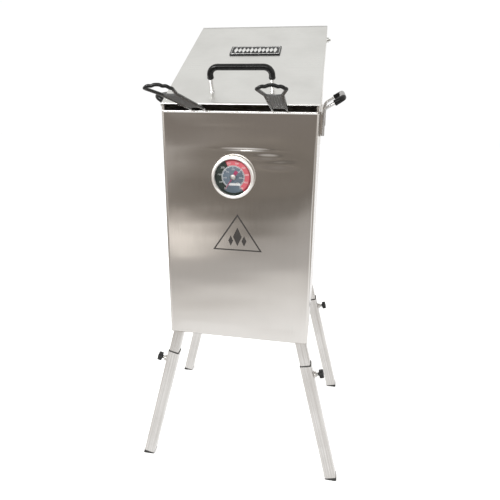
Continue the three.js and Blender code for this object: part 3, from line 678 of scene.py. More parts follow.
def front_panel():
    profile, rows = hem_profile()
    columns = 60
    points = []
    for index, (y, z) in enumerate(profile):
        half = PANEL_HALF if index <= rows else HEM_HALF
        for column in range(columns + 1):
            x = half * (2 * column / columns - 1)
            stand = panel_wave(x, z) if index <= rows else 0.0
            points.append((x, y + stand, z))
    faces = grid_faces(len(profile) - 1, columns)
    panel = piece("front_panel_sheet", (points, faces), panel_steel, "fryer_body",
                  replaces=["front_panel"], looks=[panel_steel, hem_steel])
    for face in panel.data.polygons:
        face.material_index = 1 if face.index >= rows * columns else 0
    solid_sheet(panel, 1.0)


front_panel()


# ------------------------------------------------------------------ etched mark, plain lozenges in a triangle
MARK = {"x": -1.0, "top": 632.0, "base": 552.5, "half": 52.0, "line": 2.8, "lift": 0.08}
# Each lozenge's place across and up, its half width and its half height.
LOZENGES = ((0.0, 583.0, 9.0, 20.0), (-14.0, 574.0, 5.0, 11.0), (14.0, 574.0, 5.0, 11.0))


def on_panel(points):
    """Flat points in X and Z laid just proud of the panel's wavy face."""
    return [(x, PANEL_FACE + panel_wave(x, z) - MARK["lift"], z) for x, z in points]


def cut_line(start, end, steps):
    return [(start[0] + (end[0] - start[0]) * step / steps, start[1] + (end[1] - start[1]) * step / steps)
            for step in range(steps)]


def triangle_outline(inset):
    """The triangle's edge pulled in by a distance, as short steps that can follow the sheet."""
    m = MARK
    middle = Vector((m["x"], (m["top"] + 2 * m["base"]) / 3))
    height = (m["top"] - m["base"]) / 3
    share = 1 - inset / height
    places = ((0.0, m["top"]), (-m["half"], m["base"]), (m["half"], m["base"]))
    corners = [middle + (Vector((m["x"] + x, z)) - middle) * share for x, z in places]
    outline = []
    for index in range(3):
        outline.extend(cut_line(corners[index], corners[(index + 1) % 3], 16))
    return outline


def ring_strip(outer, inner):
    count = len(outer)
    faces = []
    for index in range(count):
        after = (index + 1) % count
        faces.append([index, after, count + after, count + index])
    return outer + inner, faces


def lozenge(x, z, half_wide, half_tall, rows=14):
    """A plain lozenge as a strip of two edges that meet at its ends, in short steps that follow the sheet."""
    left, right = [], []
    for row in range(rows + 1):
        share = 2 * row / rows - 1
        width = half_wide * (1 - abs(share)) + 0.2
        left.append((x - width, z + half_tall * share))
        right.append((x + width, z + half_tall * share))
    count = rows + 1
    return left + right, [[row, row + 1, count + row + 1, count + row] for row in range(rows)]


def etched_mark():
    shapes = [ring_strip(on_panel(triangle_outline(0.0)), on_panel(triangle_outline(MARK["line"])))]
    for x, z, half_wide, half_tall in LOZENGES:
        points, faces = lozenge(MARK["x"] + x, z, half_wide, half_tall)
        shapes.append((on_panel(points), faces))
    piece("panel_mark", together(*shapes), mark_etch, "fryer_body", smooth=60)


etched_mark()


# ------------------------------------------------------------------ side walls, rear panel, base, vessel
# CAD nodes that are kept: their look and how far their edges are eased.
KEPT = {
    "side_wall_left": (side_steel, 0.35),
    "side_wall_right": (side_steel, 0.35),
    "side_handle_pad_left": (side_steel, 0.8),
    "side_handle_pad_right": (side_steel, 0.8),
    "rear_panel": (side_steel, 0.35),
    "base_frame": (side_steel, 0.4),
    "fry_vessel": (vessel_steel, 0.5),
    "flue_deck": (vessel_steel, 0.4),
    "burner_casting": (burner_iron, 1.2),
    "burner_bracket": (dark_steel, 0.4),
    "air_shutter": (dark_steel, 0.3),
    "drain_valve_body": (brass_metal, 0.8),
    "drain_pipe": (tube_steel, 0.6),
    "drain_valve_ball": (rod_chrome, 0.3),
    "thermometer_locknut": (brass_metal, 0.6),
}
for kept_node, (kept_look, kept_edge) in KEPT.items():
    bevelled(kept_node, kept_look, kept_edge)


def vent_hood(half, depth, height, steps=8, columns=16):
    """A pressed hood over a vent slot, open along its lower edge. Local X along it, Y outwards, Z up."""
    points = []
    for cosine, sine in quarter(steps):
        for column in range(columns + 1):
            share = 2 * column / columns - 1
            swell = math.sqrt(max(0.0, 1 - abs(share) ** 6))
            points.append((share * half, depth * sine * swell, height * cosine))
    return points, grid_faces(steps, columns)


VENT = {"rows": 6, "first": 690.0, "pitch": 28.0, "x": 72.0, "half": 47.0, "depth": 6.0, "height": 13.0}
SCREW_SHARES = (0.04, 0.35, 0.66, 0.97)  # up the rear panel
SCREW_IN = 8.0  # from its side edges


def rear_details():
    low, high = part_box("rear_panel")
    rear = high.y / MM
    hoods = []
    for row in range(VENT["rows"]):
        height = VENT["first"] + row * VENT["pitch"] - 0.5
        for side, _ in SIDES:
            hood = vent_hood(VENT["half"], VENT["depth"], VENT["height"])
            hoods.append(shifted(hood, side * VENT["x"], rear + 0.05, height))
    louvres = piece("rear_louvres", together(*hoods), side_steel, "fryer_body")
    solid_sheet(louvres, 0.9, offset=1.0)
    head = turned([(0, 0), (4.2, 0), (4.2, 0.9), (3.2, 2.0), (1.2, 2.5), (0.0, 2.5)], 24)
    head = moved(head, Matrix.Rotation(-math.pi / 2, 4, "X"))
    screws = []
    for side, _ in SIDES:
        for share in SCREW_SHARES:
            height = low.z / MM + (high.z - low.z) / MM * share
            screws.append(shifted(head, side * (PANEL_HALF - SCREW_IN), rear, height))
    piece("rear_screws", together(*screws), zinc, "fryer_body")


rear_details()


# ------------------------------------------------------------------ lid, on axes that lie along its slope
LID_SLOPE = math.radians(24.5)
HINGE_ALONG, HINGE_BELOW = 361.7, 24.7
LID_LENGTH, LID_HALF, LID_BEND = 388.0, 155.0, 2.2
FLANGE = {"front": 8.0, "rear": 36.0, "front_cut": 6.0, "rear_cut": 8.0, "full_from": HINGE_ALONG - 24}
lid_pivot = Vector(joints["lid_hinge"]["pos_m"])
slope_along = Vector((0, math.cos(LID_SLOPE), math.sin(LID_SLOPE)))
slope_up = Vector((0, -math.sin(LID_SLOPE), math.cos(LID_SLOPE)))
lid_origin = lid_pivot - slope_along * HINGE_ALONG * MM + slope_up * HINGE_BELOW * MM
LID = axes(lid_origin, X, slope_along, slope_up)


def flange_depth(along_mm):
    f = FLANGE
    if along_mm < f["front_cut"]:
        return f["front"] - 2 + 2 * along_mm / f["front_cut"]
    if along_mm < f["full_from"]:
        share = (along_mm - f["front_cut"]) / (f["full_from"] - f["front_cut"])
        return f["front"] + (f["rear"] - f["front"]) * share
    rear_start = LID_LENGTH - f["rear_cut"]
    return f["rear"] - max(0.0, along_mm - rear_start)


def lid_wave(x, along_mm):
    edge = min(1.0, (LID_HALF - abs(x)) / 25, along_mm / 12, (LID_LENGTH - along_mm) / 12)
    return sheet_wave(x, along_mm, 17.4, 0.5) * max(0.0, edge)


def lid_section(along_mm, columns=44, bend_steps=4, flange_rows=5):
    """The lid's outer face across its width, from one flange's lower edge to the other's."""
    depth = flange_depth(along_mm)
    half = [(LID_HALF, -depth + (depth - LID_BEND) * row / flange_rows) for row in range(flange_rows)]
    for cosine, sine in quarter(bend_steps):
        half.append((LID_HALF - LID_BEND * (1 - cosine), -LID_BEND * (1 - sine)))
    inner = LID_HALF - LID_BEND
    top = [(inner - 2 * inner * column / columns, 0.0) for column in range(1, columns)]
    section = half + top + [(-x, z) for x, z in reversed(half)]
    return [(x, along_mm, z + (lid_wave(x, along_mm) if abs(x) < inner else 0.0)) for x, z in section]


def lid_panel():
    rows = 48
    sections = [lid_section(LID_LENGTH * row / rows) for row in range(rows + 1)]
    points = [point for section in sections for point in section]
    faces = grid_faces(rows, len(sections[0]) - 1)
    lid = piece("lid_sheet", (points, faces), lid_steel, "lid", LID, replaces=["lid_panel"])
    solid_sheet(lid, SHEET_MM)


lid_panel()

LID_HANDLE = {"along": 49.0, "half": 60.5, "rise": 52.0, "sleeve": 28.0, "bend": 16.0, "stud": 11.0}
ROD_RADIUS, SLEEVE_RADIUS = 3.5, 6.2


def lid_handle_path(start):
    h = LID_HANDLE
    post = [(-h["half"], h["along"], start), (-h["half"], h["along"], h["rise"])]
    return rounded_path(post + [(-x, y, z) for x, y, z in reversed(post)], h["bend"], 8)


def grip_sleeve(path, sides=28):
    """A sleeve with rounded, slightly swollen ends round a rod."""
    shapes = [tube(path, SLEEVE_RADIUS, sides, end_round=1.1)]
    for end, back in ((path[0], path[1]), (path[-1], path[-2])):
        out = (end - back).normalized()
        shapes.append(tube([end - out * 4.0, end - out * 1.4], SLEEVE_RADIUS + 0.35, sides, end_round=0.5))
    return together(*shapes)


def lid_handle():
    h = LID_HANDLE
    rod = tube(lid_handle_path(-h["stud"]), ROD_RADIUS, 24, end_round=0.6)
    collars = [shifted(turned([(3.4, 0.3), (5.3, 0.3), (5.5, 0.6), (5.3, 1.2), (4.4, 1.8), (3.4, 2.0)], 32),
                       side * h["half"], h["along"]) for side, _ in SIDES]
    piece("lid_handle_bar", together(rod, *collars), rod_chrome, "lid", LID,
          replaces=["lid_handle_rod"])
    sleeve = grip_sleeve(lid_handle_path(h["sleeve"]))
    piece("lid_handle_sleeve", sleeve, sleeve_rubber, "lid", LID, replaces=["lid_handle_grip"])
    for side, word in SIDES:
        top = -SHEET_MM - 0.3
        nut = shifted(hex_nut(12.0, top - 5.5, top, ROD_RADIUS), side * h["half"], h["along"])
        piece(f"lid_nut_{word}", nut, zinc, "lid", LID,
              replaces=[f"lid_handle_nut_{word}"])


lid_handle()

BADGE = {"from": 221.0, "to": 264.0, "half": 57.0, "base": 0.3, "top": 3.3, "rim": 2.4, "corner": 2.5}
STUDS = {"count": 11, "pitch": 8.9, "half": 4.6, "tall": (15.0, 12.0)}


def rim_ring(half_x, half_y, corner, width, low, high, centre):
    """A frame with rounded corners and a crowned top."""
    section = [(0.0, low), (0.0, high - 0.5), (0.35, high - 0.1), (width / 2, high)]
    section += [(width - 0.35, high - 0.1), (width, high - 0.5), (width, low)]
    rings = []
    for inset, height in section:
        outline = rounded_rectangle(half_x - inset, half_y - inset, max(0.4, corner - inset), 6, centre)
        rings.append([(x, y, height) for x, y in outline])
    return rings_to_shape(rings, looped=True)


def badge():
    """A black plate with a fine bright line inside its edge and a generic row of pointed studs."""
    b = BADGE
    half_y = (b["to"] - b["from"]) / 2
    centre = (0.0, (b["to"] + b["from"]) / 2)
    outline = rounded_rectangle(b["half"], half_y, b["corner"], 6, centre)
    plate = softened(outline, 0.5, b["base"], b["top"] - 0.6)
    piece("badge_base", plate, badge_black, "lid", LID, replaces=["badge_plate"])
    low, high = b["base"] + 0.5, b["top"]
    shapes = [rim_ring(b["half"] - b["rim"], half_y - b["rim"], b["corner"], 1.1, low, high, centre)]
    for index in range(STUDS["count"]):
        x = (index - (STUDS["count"] - 1) / 2) * STUDS["pitch"]
        tall = STUDS["tall"][index % 2]
        stud = [(x - STUDS["half"], centre[1]), (x, centre[1] - tall)]
        stud += [(x + STUDS["half"], centre[1]), (x, centre[1] + tall)]
        shapes.append(softened(stud, 0.5, b["top"] - 0.9, b["top"] - 0.2))
    piece("badge_trim", together(*shapes), badge_silver, "lid", LID)


badge()


# ------------------------------------------------------------------ lid hinge bolts
HINGE = {"head": 9.6, "head_tall": 4.5, "stud": 3.0, "stud_end": 13.0, "nut": 9.8, "nut_tall": 4.4}
WASHER = ((3.4, 0), (6.8, 0), (7.0, 0.3), (6.9, 1.1), (3.4, 1.2), (3.4, 0))


def hinge_fasteners():
    h = HINGE
    wall = PANEL_HALF - SHEET_MM
    face = LID_HALF + 0.3
    nut_from = face + WASHER[-2][1]
    for side, word in SIDES:
        place = Matrix.Translation(lid_pivot) @ along_x(side)
        head = hex_nut(h["head"], wall - 0.3 - h["head_tall"], wall - 0.3)
        shank = threaded(h["stud"], 1.0, wall - 1.0, wall + h["stud_end"])
        piece(f"hinge_stud_{word}", together(head, shank), zinc, "fryer_body", place,
              replaces=[f"hinge_bolt_{word}"])
        washer = turned([(radius, face + height) for radius, height in WASHER], 36, closed=True)
        nut = hex_nut(h["nut"], nut_from, nut_from + h["nut_tall"], 3.1)
        piece(f"hinge_cap_{word}", together(washer, nut), zinc, "fryer_body", place,
              replaces=[f"hinge_nut_{word}"])


hinge_fasteners()


# ------------------------------------------------------------------ side handles
SIDE_KNEE, SIDE_BEND = 834.5, 13.0
SIDE_GRIP_SHARE = 0.45  # of each sloping arm is inside the sleeve
SIDE_WELD = {"beside": 3.4, "radius": 1.2, "wobble": 0.4, "steps": 18}


def side_path(side, arm, front, rear):
    """Out along one arm and back along the other, from the arm's places outwards and up."""
    corners = [(side * x, front, z) for x, z in arm] + [(side * x, rear, z) for x, z in reversed(arm)]
    return rounded_path(corners, SIDE_BEND, 8)


def side_handle(side, word):
    low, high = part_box(f"side_handle_rod_{word}")
    near = min(abs(low.x), abs(high.x)) / MM + ROD_RADIUS
    far = max(abs(low.x), abs(high.x)) / MM - ROD_RADIUS
    front, rear = low.y / MM + ROD_RADIUS, high.y / MM - ROD_RADIUS
    foot, top = low.z / MM, high.z / MM - ROD_RADIUS
    path = side_path(side, [(near, foot), (near, SIDE_KNEE), (far, top)], front, rear)
    piece(f"side_handle_bar_{word}", tube(path, ROD_RADIUS, 24, end_round=0.8), rod_chrome,
          "fryer_body", replaces=[f"side_handle_rod_{word}"])
    share = 1 - SIDE_GRIP_SHARE
    start = (near + (far - near) * share, SIDE_KNEE + (top - SIDE_KNEE) * share)
    sleeve = grip_sleeve(side_path(side, [start, (far, top)], front, rear))
    piece(f"side_handle_sleeve_{word}", sleeve, sleeve_rubber, "fryer_body",
          replaces=[f"side_handle_grip_{word}"])
    w = SIDE_WELD
    beads = []
    pad_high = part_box(f"side_handle_pad_{word}")[1].z / MM
    for y in (front, rear):
        for offset in (-w["beside"], w["beside"]):
            line = []
            for step in range(w["steps"] + 1):
                height = foot + 4 + step * (pad_high - foot - 10) / w["steps"]
                place = Vector((side * (near - 3.0), y + offset, height))
                line.append(place + Vector((0, w["wobble"] * math.sin(3.1 * step), 0)))
            beads.append(tube(line, w["radius"], 8, end_round=0.8))
    piece(f"side_handle_welds_{word}", together(*beads), weld_metal, "fryer_body")


for handle_side, handle_word in SIDES:
    side_handle(handle_side, handle_word)


# ------------------------------------------------------------------ legs, on axes that lie along each leg
LEG = {"half": 12.7, "wall": 1.2, "from": 5.6, "mouth": 297.0, "corner": 2.6}
STUB = {"half": 11.2, "wall": 1.5, "from": 207.0, "to": 420.0, "corner": 2.2}
CLAMP = {"height": 270.0, "nut": 13.0, "nut_end": 19.0, "bead": 7.2, "stud": 4.0, "knob": 9.6,
         "knob_from": 25.5, "knob_to": 34.5}
PLUG = {"half": 11.2, "top": 25.0}


def leg_axes(word):
    up = -Vector(joints[f"leg_slide_{word}"]["axis"])
    outward = Vector(joints[f"thumb_screw_turn_{word}"]["axis"])
    return axes(mounts[f"foot_{word}"], outward, up.cross(outward), up)


def square_tube(half, wall, corner, low, high, rows=3, ease=0.35):
    """A square tube with rounded corners and eased ends."""
    run = high - low - 2 * ease
    inside = (half - wall, max(0.5, corner - wall))
    eased = (half - ease, corner - ease)
    rings = [square_ring(half, corner, low + ease + run * row / rows) for row in range(rows + 1)]
    for size, height in ((eased, high), (inside, high), (inside, low), (eased, low)):
        rings.append(square_ring(*size, height))
    return rings_to_shape(rings, looped=True)


def cut_at_height(shape, place, height):
    """Lowers the top ring of a leg piece to a level plane in the row frame."""
    inverse = place.inverted()
    up = place.to_3x3() @ Z
    points = []
    for point in shape[0]:
        world = place @ (Vector(point) * MM)
        if world.z > height:
            world = world - up * (world.z - height) / up.z
        points.append((inverse @ world) / MM)
    return points, shape[1]


def floor_height(place, x, y):
    """Where the floor is on the leg's own Z at a place across the leg."""
    turn = place.to_3x3()
    return -(x * turn[2][0] + y * turn[2][1]) / turn[2][2]


def rubber_foot(place):
    """A tread that is a wedge, because the leg leans, and a plug inside the tube."""
    top = LEG["from"] - 0.3

    def tread_ring(inset, height, least):
        """A ring at a height of its own, or at least so far above the floor."""
        flat = square_ring(LEG["half"] + 0.3 - inset, 2.4, height)
        return [(x, y, max(z, floor_height(place, x, y) + least)) for x, y, z in flat]

    rings = [tread_ring(inset, -math.inf, lift) for inset, lift in ((1.2, 0.0), (0.35, 0.35), (0.0, 1.2))]
    for inset, height in ((0.0, top - 0.7), (0.25, top - 0.15), (0.8, top)):
        rings.append(tread_ring(inset, height, 1.3))
    for inset, height in ((0.0, top), (0.0, PLUG["top"] - 1), (0.8, PLUG["top"])):
        rings.append(square_ring(PLUG["half"] - inset, 1.6, height))
    return rings_to_shape(rings)


def knob_outline(radius, lobes=6, depth=1.2, steps=60):
    angles = [2 * math.pi * index / steps for index in range(steps)]
    return [polar(radius + depth * math.cos(angle * lobes), angle) for angle in angles]


def weld_bead(outline_points, radius, wobble):
    """A lumpy fillet that follows a closed line."""
    rng = random.Random(wobble)
    path = [Vector(point) + Vector([rng.uniform(-0.2, 0.2) for _ in range(3)]) for point in outline_points]
    return tube(path, radius, 8, closed=True)


def mouth_shadow_ring():
    """A black ring that stands a little out of the leg's mouth, between the two tubes, as painted shadow of the
    gap there.
    """
    low, high = LEG["mouth"] + 0.15, LEG["mouth"] + 2.4
    outside, inside = LEG["half"] - 0.1, STUB["half"] + 0.15
    section = ((outside, low), (outside, high - 0.5), (outside - 0.4, high), (inside, high), (inside, low))
    rings = [square_ring(half, LEG["corner"] - 0.3, height) for half, height in section]
    return rings_to_shape(rings, looped=True)


def leg_weld(place, stub_top, seed):
    """The bead round the stub's top, where it meets the base."""
    tilt = place.to_3x3()[2]
    seam_height = floor_height(place, 0, 0) + stub_top / MM / tilt[2]
    outline = rounded_rectangle(STUB["half"] + 0.4, STUB["half"] + 0.4, 2.4, 8)
    seam = [(x, y, seam_height - (x * tilt[0] + y * tilt[1]) / tilt[2] - 1.4) for x, y in outline]
    return weld_bead(seam, 1.5, seed)


def leg(side, end, word):
    place = leg_axes(word)
    to_clamp = Matrix.Translation((0, 0, CLAMP["height"])) @ along_x(1)

    def on(body, name, shape, look, slot, *replaced):
        whole_names = [f"{node}_{word}" for node in replaced]
        piece(f"{name}_{word}", shape, look, body, place, replaces=whole_names)

    cabinet, tube_body, screw_body = "fryer_body", f"leg_{word}", f"clamp_{word}"
    stub_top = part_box(f"leg_stub_{word}")[1].z
    stub = square_tube(STUB["half"], STUB["wall"], STUB["corner"], STUB["from"], STUB["to"])
    on(cabinet, "leg_socket", cut_at_height(stub, place, stub_top), tube_steel, "tube_steel", "leg_stub")
    on(cabinet, "leg_weld", leg_weld(place, stub_top, side * 3 + end), weld_metal, "tube_steel")
    outer = square_tube(LEG["half"], LEG["wall"], LEG["corner"], LEG["from"], LEG["mouth"])
    nut = moved(hex_nut(CLAMP["nut"], LEG["half"] - 0.3, CLAMP["nut_end"], 4.4), to_clamp)
    size = CLAMP["bead"]
    ring = [(LEG["half"] + 0.4, size * cosine, CLAMP["height"] + size * sine) for cosine, sine in circle(30)]
    bead = weld_bead(ring, 1.0, side * 5 + end)
    on(tube_body, "leg_tube", together(outer, nut, bead), tube_steel, "tube_steel", "lower_leg")
    # black ring in the gap at the leg's mouth, as painted shadow
    on(tube_body, "leg_mouth_shadow_ring", mouth_shadow_ring(), foot_rubber, "foot_rubber")
    on(tube_body, "leg_foot", rubber_foot(place), foot_rubber, "foot_rubber", "rubber_foot")
    base = CLAMP["knob_from"]
    knob = softened(knob_outline(CLAMP["knob"]), 1.4, base, CLAMP["knob_to"], 4)
    section = ((0, -1.2), (4.8, -1.2), (5.2, -0.8), (5.2, 0.5), (0, 0.5))
    boss = turned([(radius, base + height) for radius, height in section], 32)
    knob = moved(together(knob, boss), to_clamp)
    on(screw_body, "thumb_knob", knob, knob_plastic, "black_knob", "thumb_screw")
    stud = moved(threaded(CLAMP["stud"], 1.25, STUB["half"] + 0.4, base - 1.0), to_clamp)
    on(screw_body, "thumb_stud", stud, zinc, "bright_fastener")


for leg_side, leg_end, leg_word in CORNERS:
    leg(leg_side, leg_end, leg_word)


# ------------------------------------------------------------------ thermometer, on axes that face outwards
RIM, WINDOW = 43.0, 36.5
DIAL_TOP = 3.0
MARKS_TOP = DIAL_TOP + 0.08
# From band_out to edge the dial is darkened all round as painted shade from the rim; beyond is how far that ring
# runs past the scale's end
DIAL = {"edge": 37.4, "band_out": 32.6, "band_in": 23.4, "arc": 21.6, "start": 236.0, "sweep": 290.0,
        "red_from": 117.0, "beyond": 70.0}
NEEDLE_REST = math.radians(238)


def on_gauge(name, shape, look, slot, *replaced, body="fryer_body"):
    piece(name, shape, look, body, GAUGE, replaces=replaced)


def arc_points(radius, centre, first, last, steps):
    """Points along an arc between two angles in degrees."""
    made = []
    for step in range(steps + 1):
        x, y = polar(radius, math.radians(first + (last - first) * step / steps))
        made.append((centre[0] + x, centre[1] + y))
    return made


def rim_and_case():
    profile = [(RIM - 3.6, 1.6), (RIM - 0.6, 1.6)]
    profile += arc_points(1.6, (RIM - 1.6, 3.6), -50, 0, 3)
    profile += arc_points(4.2, (RIM - 4.2, 8.0), 0, 95, 9)
    profile += [(RIM - 5.6, 11.6), (WINDOW + 0.4, 10.2), (WINDOW, 9.7), (WINDOW + 0.3, 9.2), (RIM - 3.6, 8.6)]
    profile.append(profile[0])
    on_gauge("gauge_rim", turned(profile[:-1], 96, closed=True), bezel_chrome, "bezel", "thermometer_bezel")
    cup = [(0, -9), (6.3, -9), (6.3, 0.2), (RIM - 5, 0.2), (RIM - 4, 1.0), (RIM - 4, 8), (RIM - 5, 8)]
    cup += [(RIM - 5, 1.5), (0, 1.5)]
    stem = turned([(0, -95), (1.6, -95), (3.0, -93), (3.0, -9), (3.6, -9), (3.6, -8), (0, -8)], 24)
    case = together(turned(cup, 64), stem, threaded(6.3, 1.4, -9, 0.4))
    on_gauge("gauge_case", case, case_paint, "gauge_case", "thermometer_case")


def flat_ring(inner, outer, first, last, height, steps):
    """Part of a flat ring between two angles, as a thin printed layer."""
    edges = zip(*(arc_points(radius, (0.0, 0.0), first, last, steps) for radius in (inner, outer)))
    return [(*point, height) for pair in edges for point in pair], grid_faces(steps, 1)


def tick(angle, inner, outer, width):
    cosine, sine = polar(1.0, math.radians(angle))
    out, across = Vector((cosine, sine, 0)), Vector((-sine, cosine, 0)) * width / 2
    lift = Vector((0, 0, MARKS_TOP))
    return [out * inner - across + lift, out * outer - across + lift, out * outer + across + lift,
            out * inner + across + lift], [[0, 1, 2, 3]]


def number_shape(text, size, x, y, height):
    """The outline of a number, centred on a place on the dial."""
    curve = bpy.data.curves.new("number", "FONT")
    curve.body = text
    curve.size = size * MM
    curve.align_x, curve.align_y = "CENTER", "CENTER"
    curve.resolution_u = 2
    obj = bpy.data.objects.new("number", curve)
    scene.collection.objects.link(obj)
    mesh = bpy.data.meshes.new_from_object(obj.evaluated_get(bpy.context.evaluated_depsgraph_get()))
    points = [(vertex.co.x / MM + x, vertex.co.y / MM + y, height) for vertex in mesh.vertices]
    faces = [list(polygon.vertices) for polygon in mesh.polygons]
    bpy.data.objects.remove(obj)
    bpy.data.curves.remove(curve)
    bpy.data.meshes.remove(mesh)
    return points, faces


def scale_numbers(count, step, size, radius, first=0):
    """The numbers of one scale, evenly along the dial's sweep."""
    made = []
    for index in range(count):
        x, y = polar(radius, math.radians(DIAL["start"] - DIAL["sweep"] * index / (count - 1)))
        made.append(number_shape(str(first + step * index), size, x, y, DIAL_TOP + 0.1))
    return made


def scale_ticks():
    """Short marks outwards from the scale's arc, and longer ones inwards for the other scale."""
    arc = DIAL["arc"]
    made = []
    for index in range(37):
        angle = DIAL["start"] - DIAL["sweep"] * index / 36
        length, width = (2.8, 0.8) if index % 4 == 0 else (1.7, 0.35)
        made.append(tick(angle, arc + 0.3, arc + length, width))
        if index % 3 == 0:
            made.append(tick(angle, arc - (4.2 if index % 6 == 0 else 2.0), arc, 0.8))
    return made


def dial():
    d = DIAL
    base = turned([(0, 1.9), (d["edge"] - 0.4, 1.9), (d["edge"], 2.2), (d["edge"], DIAL_TOP - 0.15),
                   (d["edge"] - 0.2, DIAL_TOP), (0, DIAL_TOP)], 72)
    on_gauge("dial_disc", base, dial_blue, "dial_face", "thermometer_dial")
    first, last = d["start"], d["start"] - d["sweep"]
    inner, outer, edge = d["band_in"], d["band_out"], d["edge"] - 0.2
    # The printed dark zone on the left, and a dark ring from band_out to the edge all round as painted shade from
    # the rim
    dark = together(flat_ring(inner, edge, first, d["red_from"], DIAL_TOP + 0.04, 40),
                    flat_ring(outer, edge, first, last - d["beyond"], DIAL_TOP + 0.03, 72))
    on_gauge("dial_dark_print_and_rim_shade", dark, dial_dark, "dial_face")
    red = flat_ring(inner, outer, d["red_from"], last, DIAL_TOP + 0.05, 56)
    on_gauge("dial_band_red", red, dial_red, "dial_face")
    # The red band's outer part, next to the rim, in a darker red as painted shade from the rim
    red_rim_shade = flat_ring(outer, edge, d["red_from"], last, DIAL_TOP + 0.05, 56)
    on_gauge("dial_red_band_rim_shade", red_rim_shade, dial_red_rim_shade, "dial_face")
    marks = [flat_ring(d["arc"] - 0.35, d["arc"] + 0.35, first, last, MARKS_TOP, 80),
             flat_ring(inner - 0.5, inner, first, last, MARKS_TOP, 80)]
    marks += scale_ticks()
    marks += scale_numbers(10, 50, 5.2, (inner + outer) / 2, first=50)
    marks += scale_numbers(7, 50, 4.2, d["arc"] - 6.6)
    label = rounded_rectangle(12.0, 2.4, 1.2, 5, (2.5, -15.0))
    marks.append(softened(label, 0.05, DIAL_TOP + 0.02, DIAL_TOP + 0.1))
    on_gauge("dial_marks", together(*marks), dial_white, "dial_face")


def needle():
    """A thin pointer with a wide tail on one spindle, under a bright hub."""
    pointer = [(-5.0, -1.5), (30.0, -0.45), (30.6, 0.0), (30.0, 0.45), (-5.0, 1.5)]
    tail = [(-14.5, -3.0), (-13.0, -3.6), (-4.0, -3.0), (-4.0, 3.0), (-13.0, 3.6), (-14.5, 3.0)]
    both = together(*(softened(outline, 0.2, 4.6, 5.4) for outline in (pointer, tail)))
    at_rest = moved(both, Matrix.Rotation(NEEDLE_REST, 4, "Z"))
    on_gauge("needle_pointer", at_rest, needle_red, "needle", "thermometer_needle", body="needle")
    spindle = [(0, 1.9), (1.2, 1.9), (1.2, 4.4)]
    cap = [(5.4, 4.4), (5.8, 4.8), (5.8, 5.6), (5.0, 6.4), (2.8, 6.8), (0, 6.9)]
    on_gauge("needle_hub", turned(spindle + cap, 40), bezel_chrome, "needle", body="needle")


def gauge_window():
    radius, edge_top, crown = RIM - 5.6, 8.6, 0.7
    profile = [(0, 7.3), (radius, 7.3), (radius, edge_top)]
    for step in range(1, 9):
        profile.append((radius * (1 - step / 8), edge_top + crown * math.sin(math.pi / 2 * step / 8)))
    on_gauge("gauge_window", turned(profile, 64), glass, "gauge_glass", "thermometer_glass")


rim_and_case()
dial()
needle()
gauge_window()


# ------------------------------------------------------------------ baskets of wire
BASKET_WIRE, BASKET_RIM, MESH_WIRE, MESH_PITCH = 2.2, 2.6, 0.8, 9.4
BASKET_CORNER = 12.0
LOWER_LOOP = 34.0  # how far up the basket its second loop is


def flat_loop(low, high, z, inset, corner, steps=5):
    x0, y0 = low.x / MM + inset, low.y / MM + inset
    x1, y1 = high.x / MM - inset, high.y / MM - inset
    corners = [(x0, y0, z), (x1, y0, z), (x1, y1, z), (x0, y1, z)]
    return rounded_path(corners, corner, steps, closed=True)


def u_wire(low, high, axis, place, inset, corner):
    """A mesh wire that runs down one side of the basket, under it and up the other side."""
    top = high.z / MM - BASKET_RIM
    bottom = low.z / MM + inset
    a, b = low[axis] / MM + inset, high[axis] / MM - inset
    corners = [(a, top), (a, bottom), (b, bottom), (b, top)]
    return rounded_path([(u, place, z) if axis == 0 else (place, u, z) for u, z in corners], corner, 3)


def spaced(first, last, pitch):
    count = max(1, round((last - first) / pitch))
    return [first + (last - first) * index / count for index in range(count + 1)]


def basket(word):
    low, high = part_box(f"basket_{word}")
    body = f"basket_and_handle_{word}"
    corner, bar = BASKET_CORNER, BASKET_WIRE * 0.8
    rim = flat_loop(low, high, high.z / MM - BASKET_RIM, BASKET_RIM, corner, 8)
    lower = flat_loop(low, high, low.z / MM + LOWER_LOOP, BASKET_WIRE, corner)
    wires = [tube(rim, BASKET_RIM, 12, closed=True), tube(lower, bar, 8, closed=True)]
    for axis in (0, 1):
        across = 1 - axis
        for place in (low[across] / MM + corner, high[across] / MM - corner):
            wires.append(tube(u_wire(low, high, axis, place, BASKET_WIRE, 10.0), bar, 8))
    piece(f"basket_frame_{word}", together(*wires), basket_plating, body,
          replaces=[f"basket_{word}"])
    fine = []
    inset = BASKET_WIRE * 2 + MESH_WIRE
    for z in spaced(low.z / MM + inset + 6, high.z / MM - 2 * BASKET_RIM, MESH_PITCH):
        fine.append(tube(flat_loop(low, high, z, inset, corner - 2, 3), MESH_WIRE, 6, closed=True))
    for axis in (0, 1):
        across = 1 - axis
        for place in spaced(low[across] / MM + corner, high[across] / MM - corner, MESH_PITCH):
            fine.append(tube(u_wire(low, high, axis, place, inset + 2 * MESH_WIRE, 8.0), MESH_WIRE, 6))
    piece(f"basket_mesh_{word}", together(*fine), basket_plating, body)


# The handle's own axes start at the foot of its wires: X across, -Y towards the user, Z up.
GRIP = {"wire": 13.6, "bar": 22.5, "coat": 2.7, "bare": 2.35, "bend": 7.0, "foot_y": 23.0, "foot_z": 836.2,
        "plate_y": -199.0, "plate_z": 42.6, "bar_y": -253.0, "bar_z": 54.6}
GRIP_TURN = {"left": 0.0, "right": math.radians(2.4)}
GRIP_PLATE = {"end": 5.0, "rib": 0.75, "rib_pitch": 4.2, "plain_edge": 2.0, "curl": 1.6, "curl_from": 0.96}
BAR_BOW = {"rise": 4.2, "reach": 19.0, "dip": 1.5, "dip_at": 9.0, "dip_width": 3.6}


def grip_arm(share):
    """A point of the sloping wires, in Y and Z, from their lower bend to the plate's far end."""
    return GRIP["plate_y"] * share, GRIP["plate_z"] * share


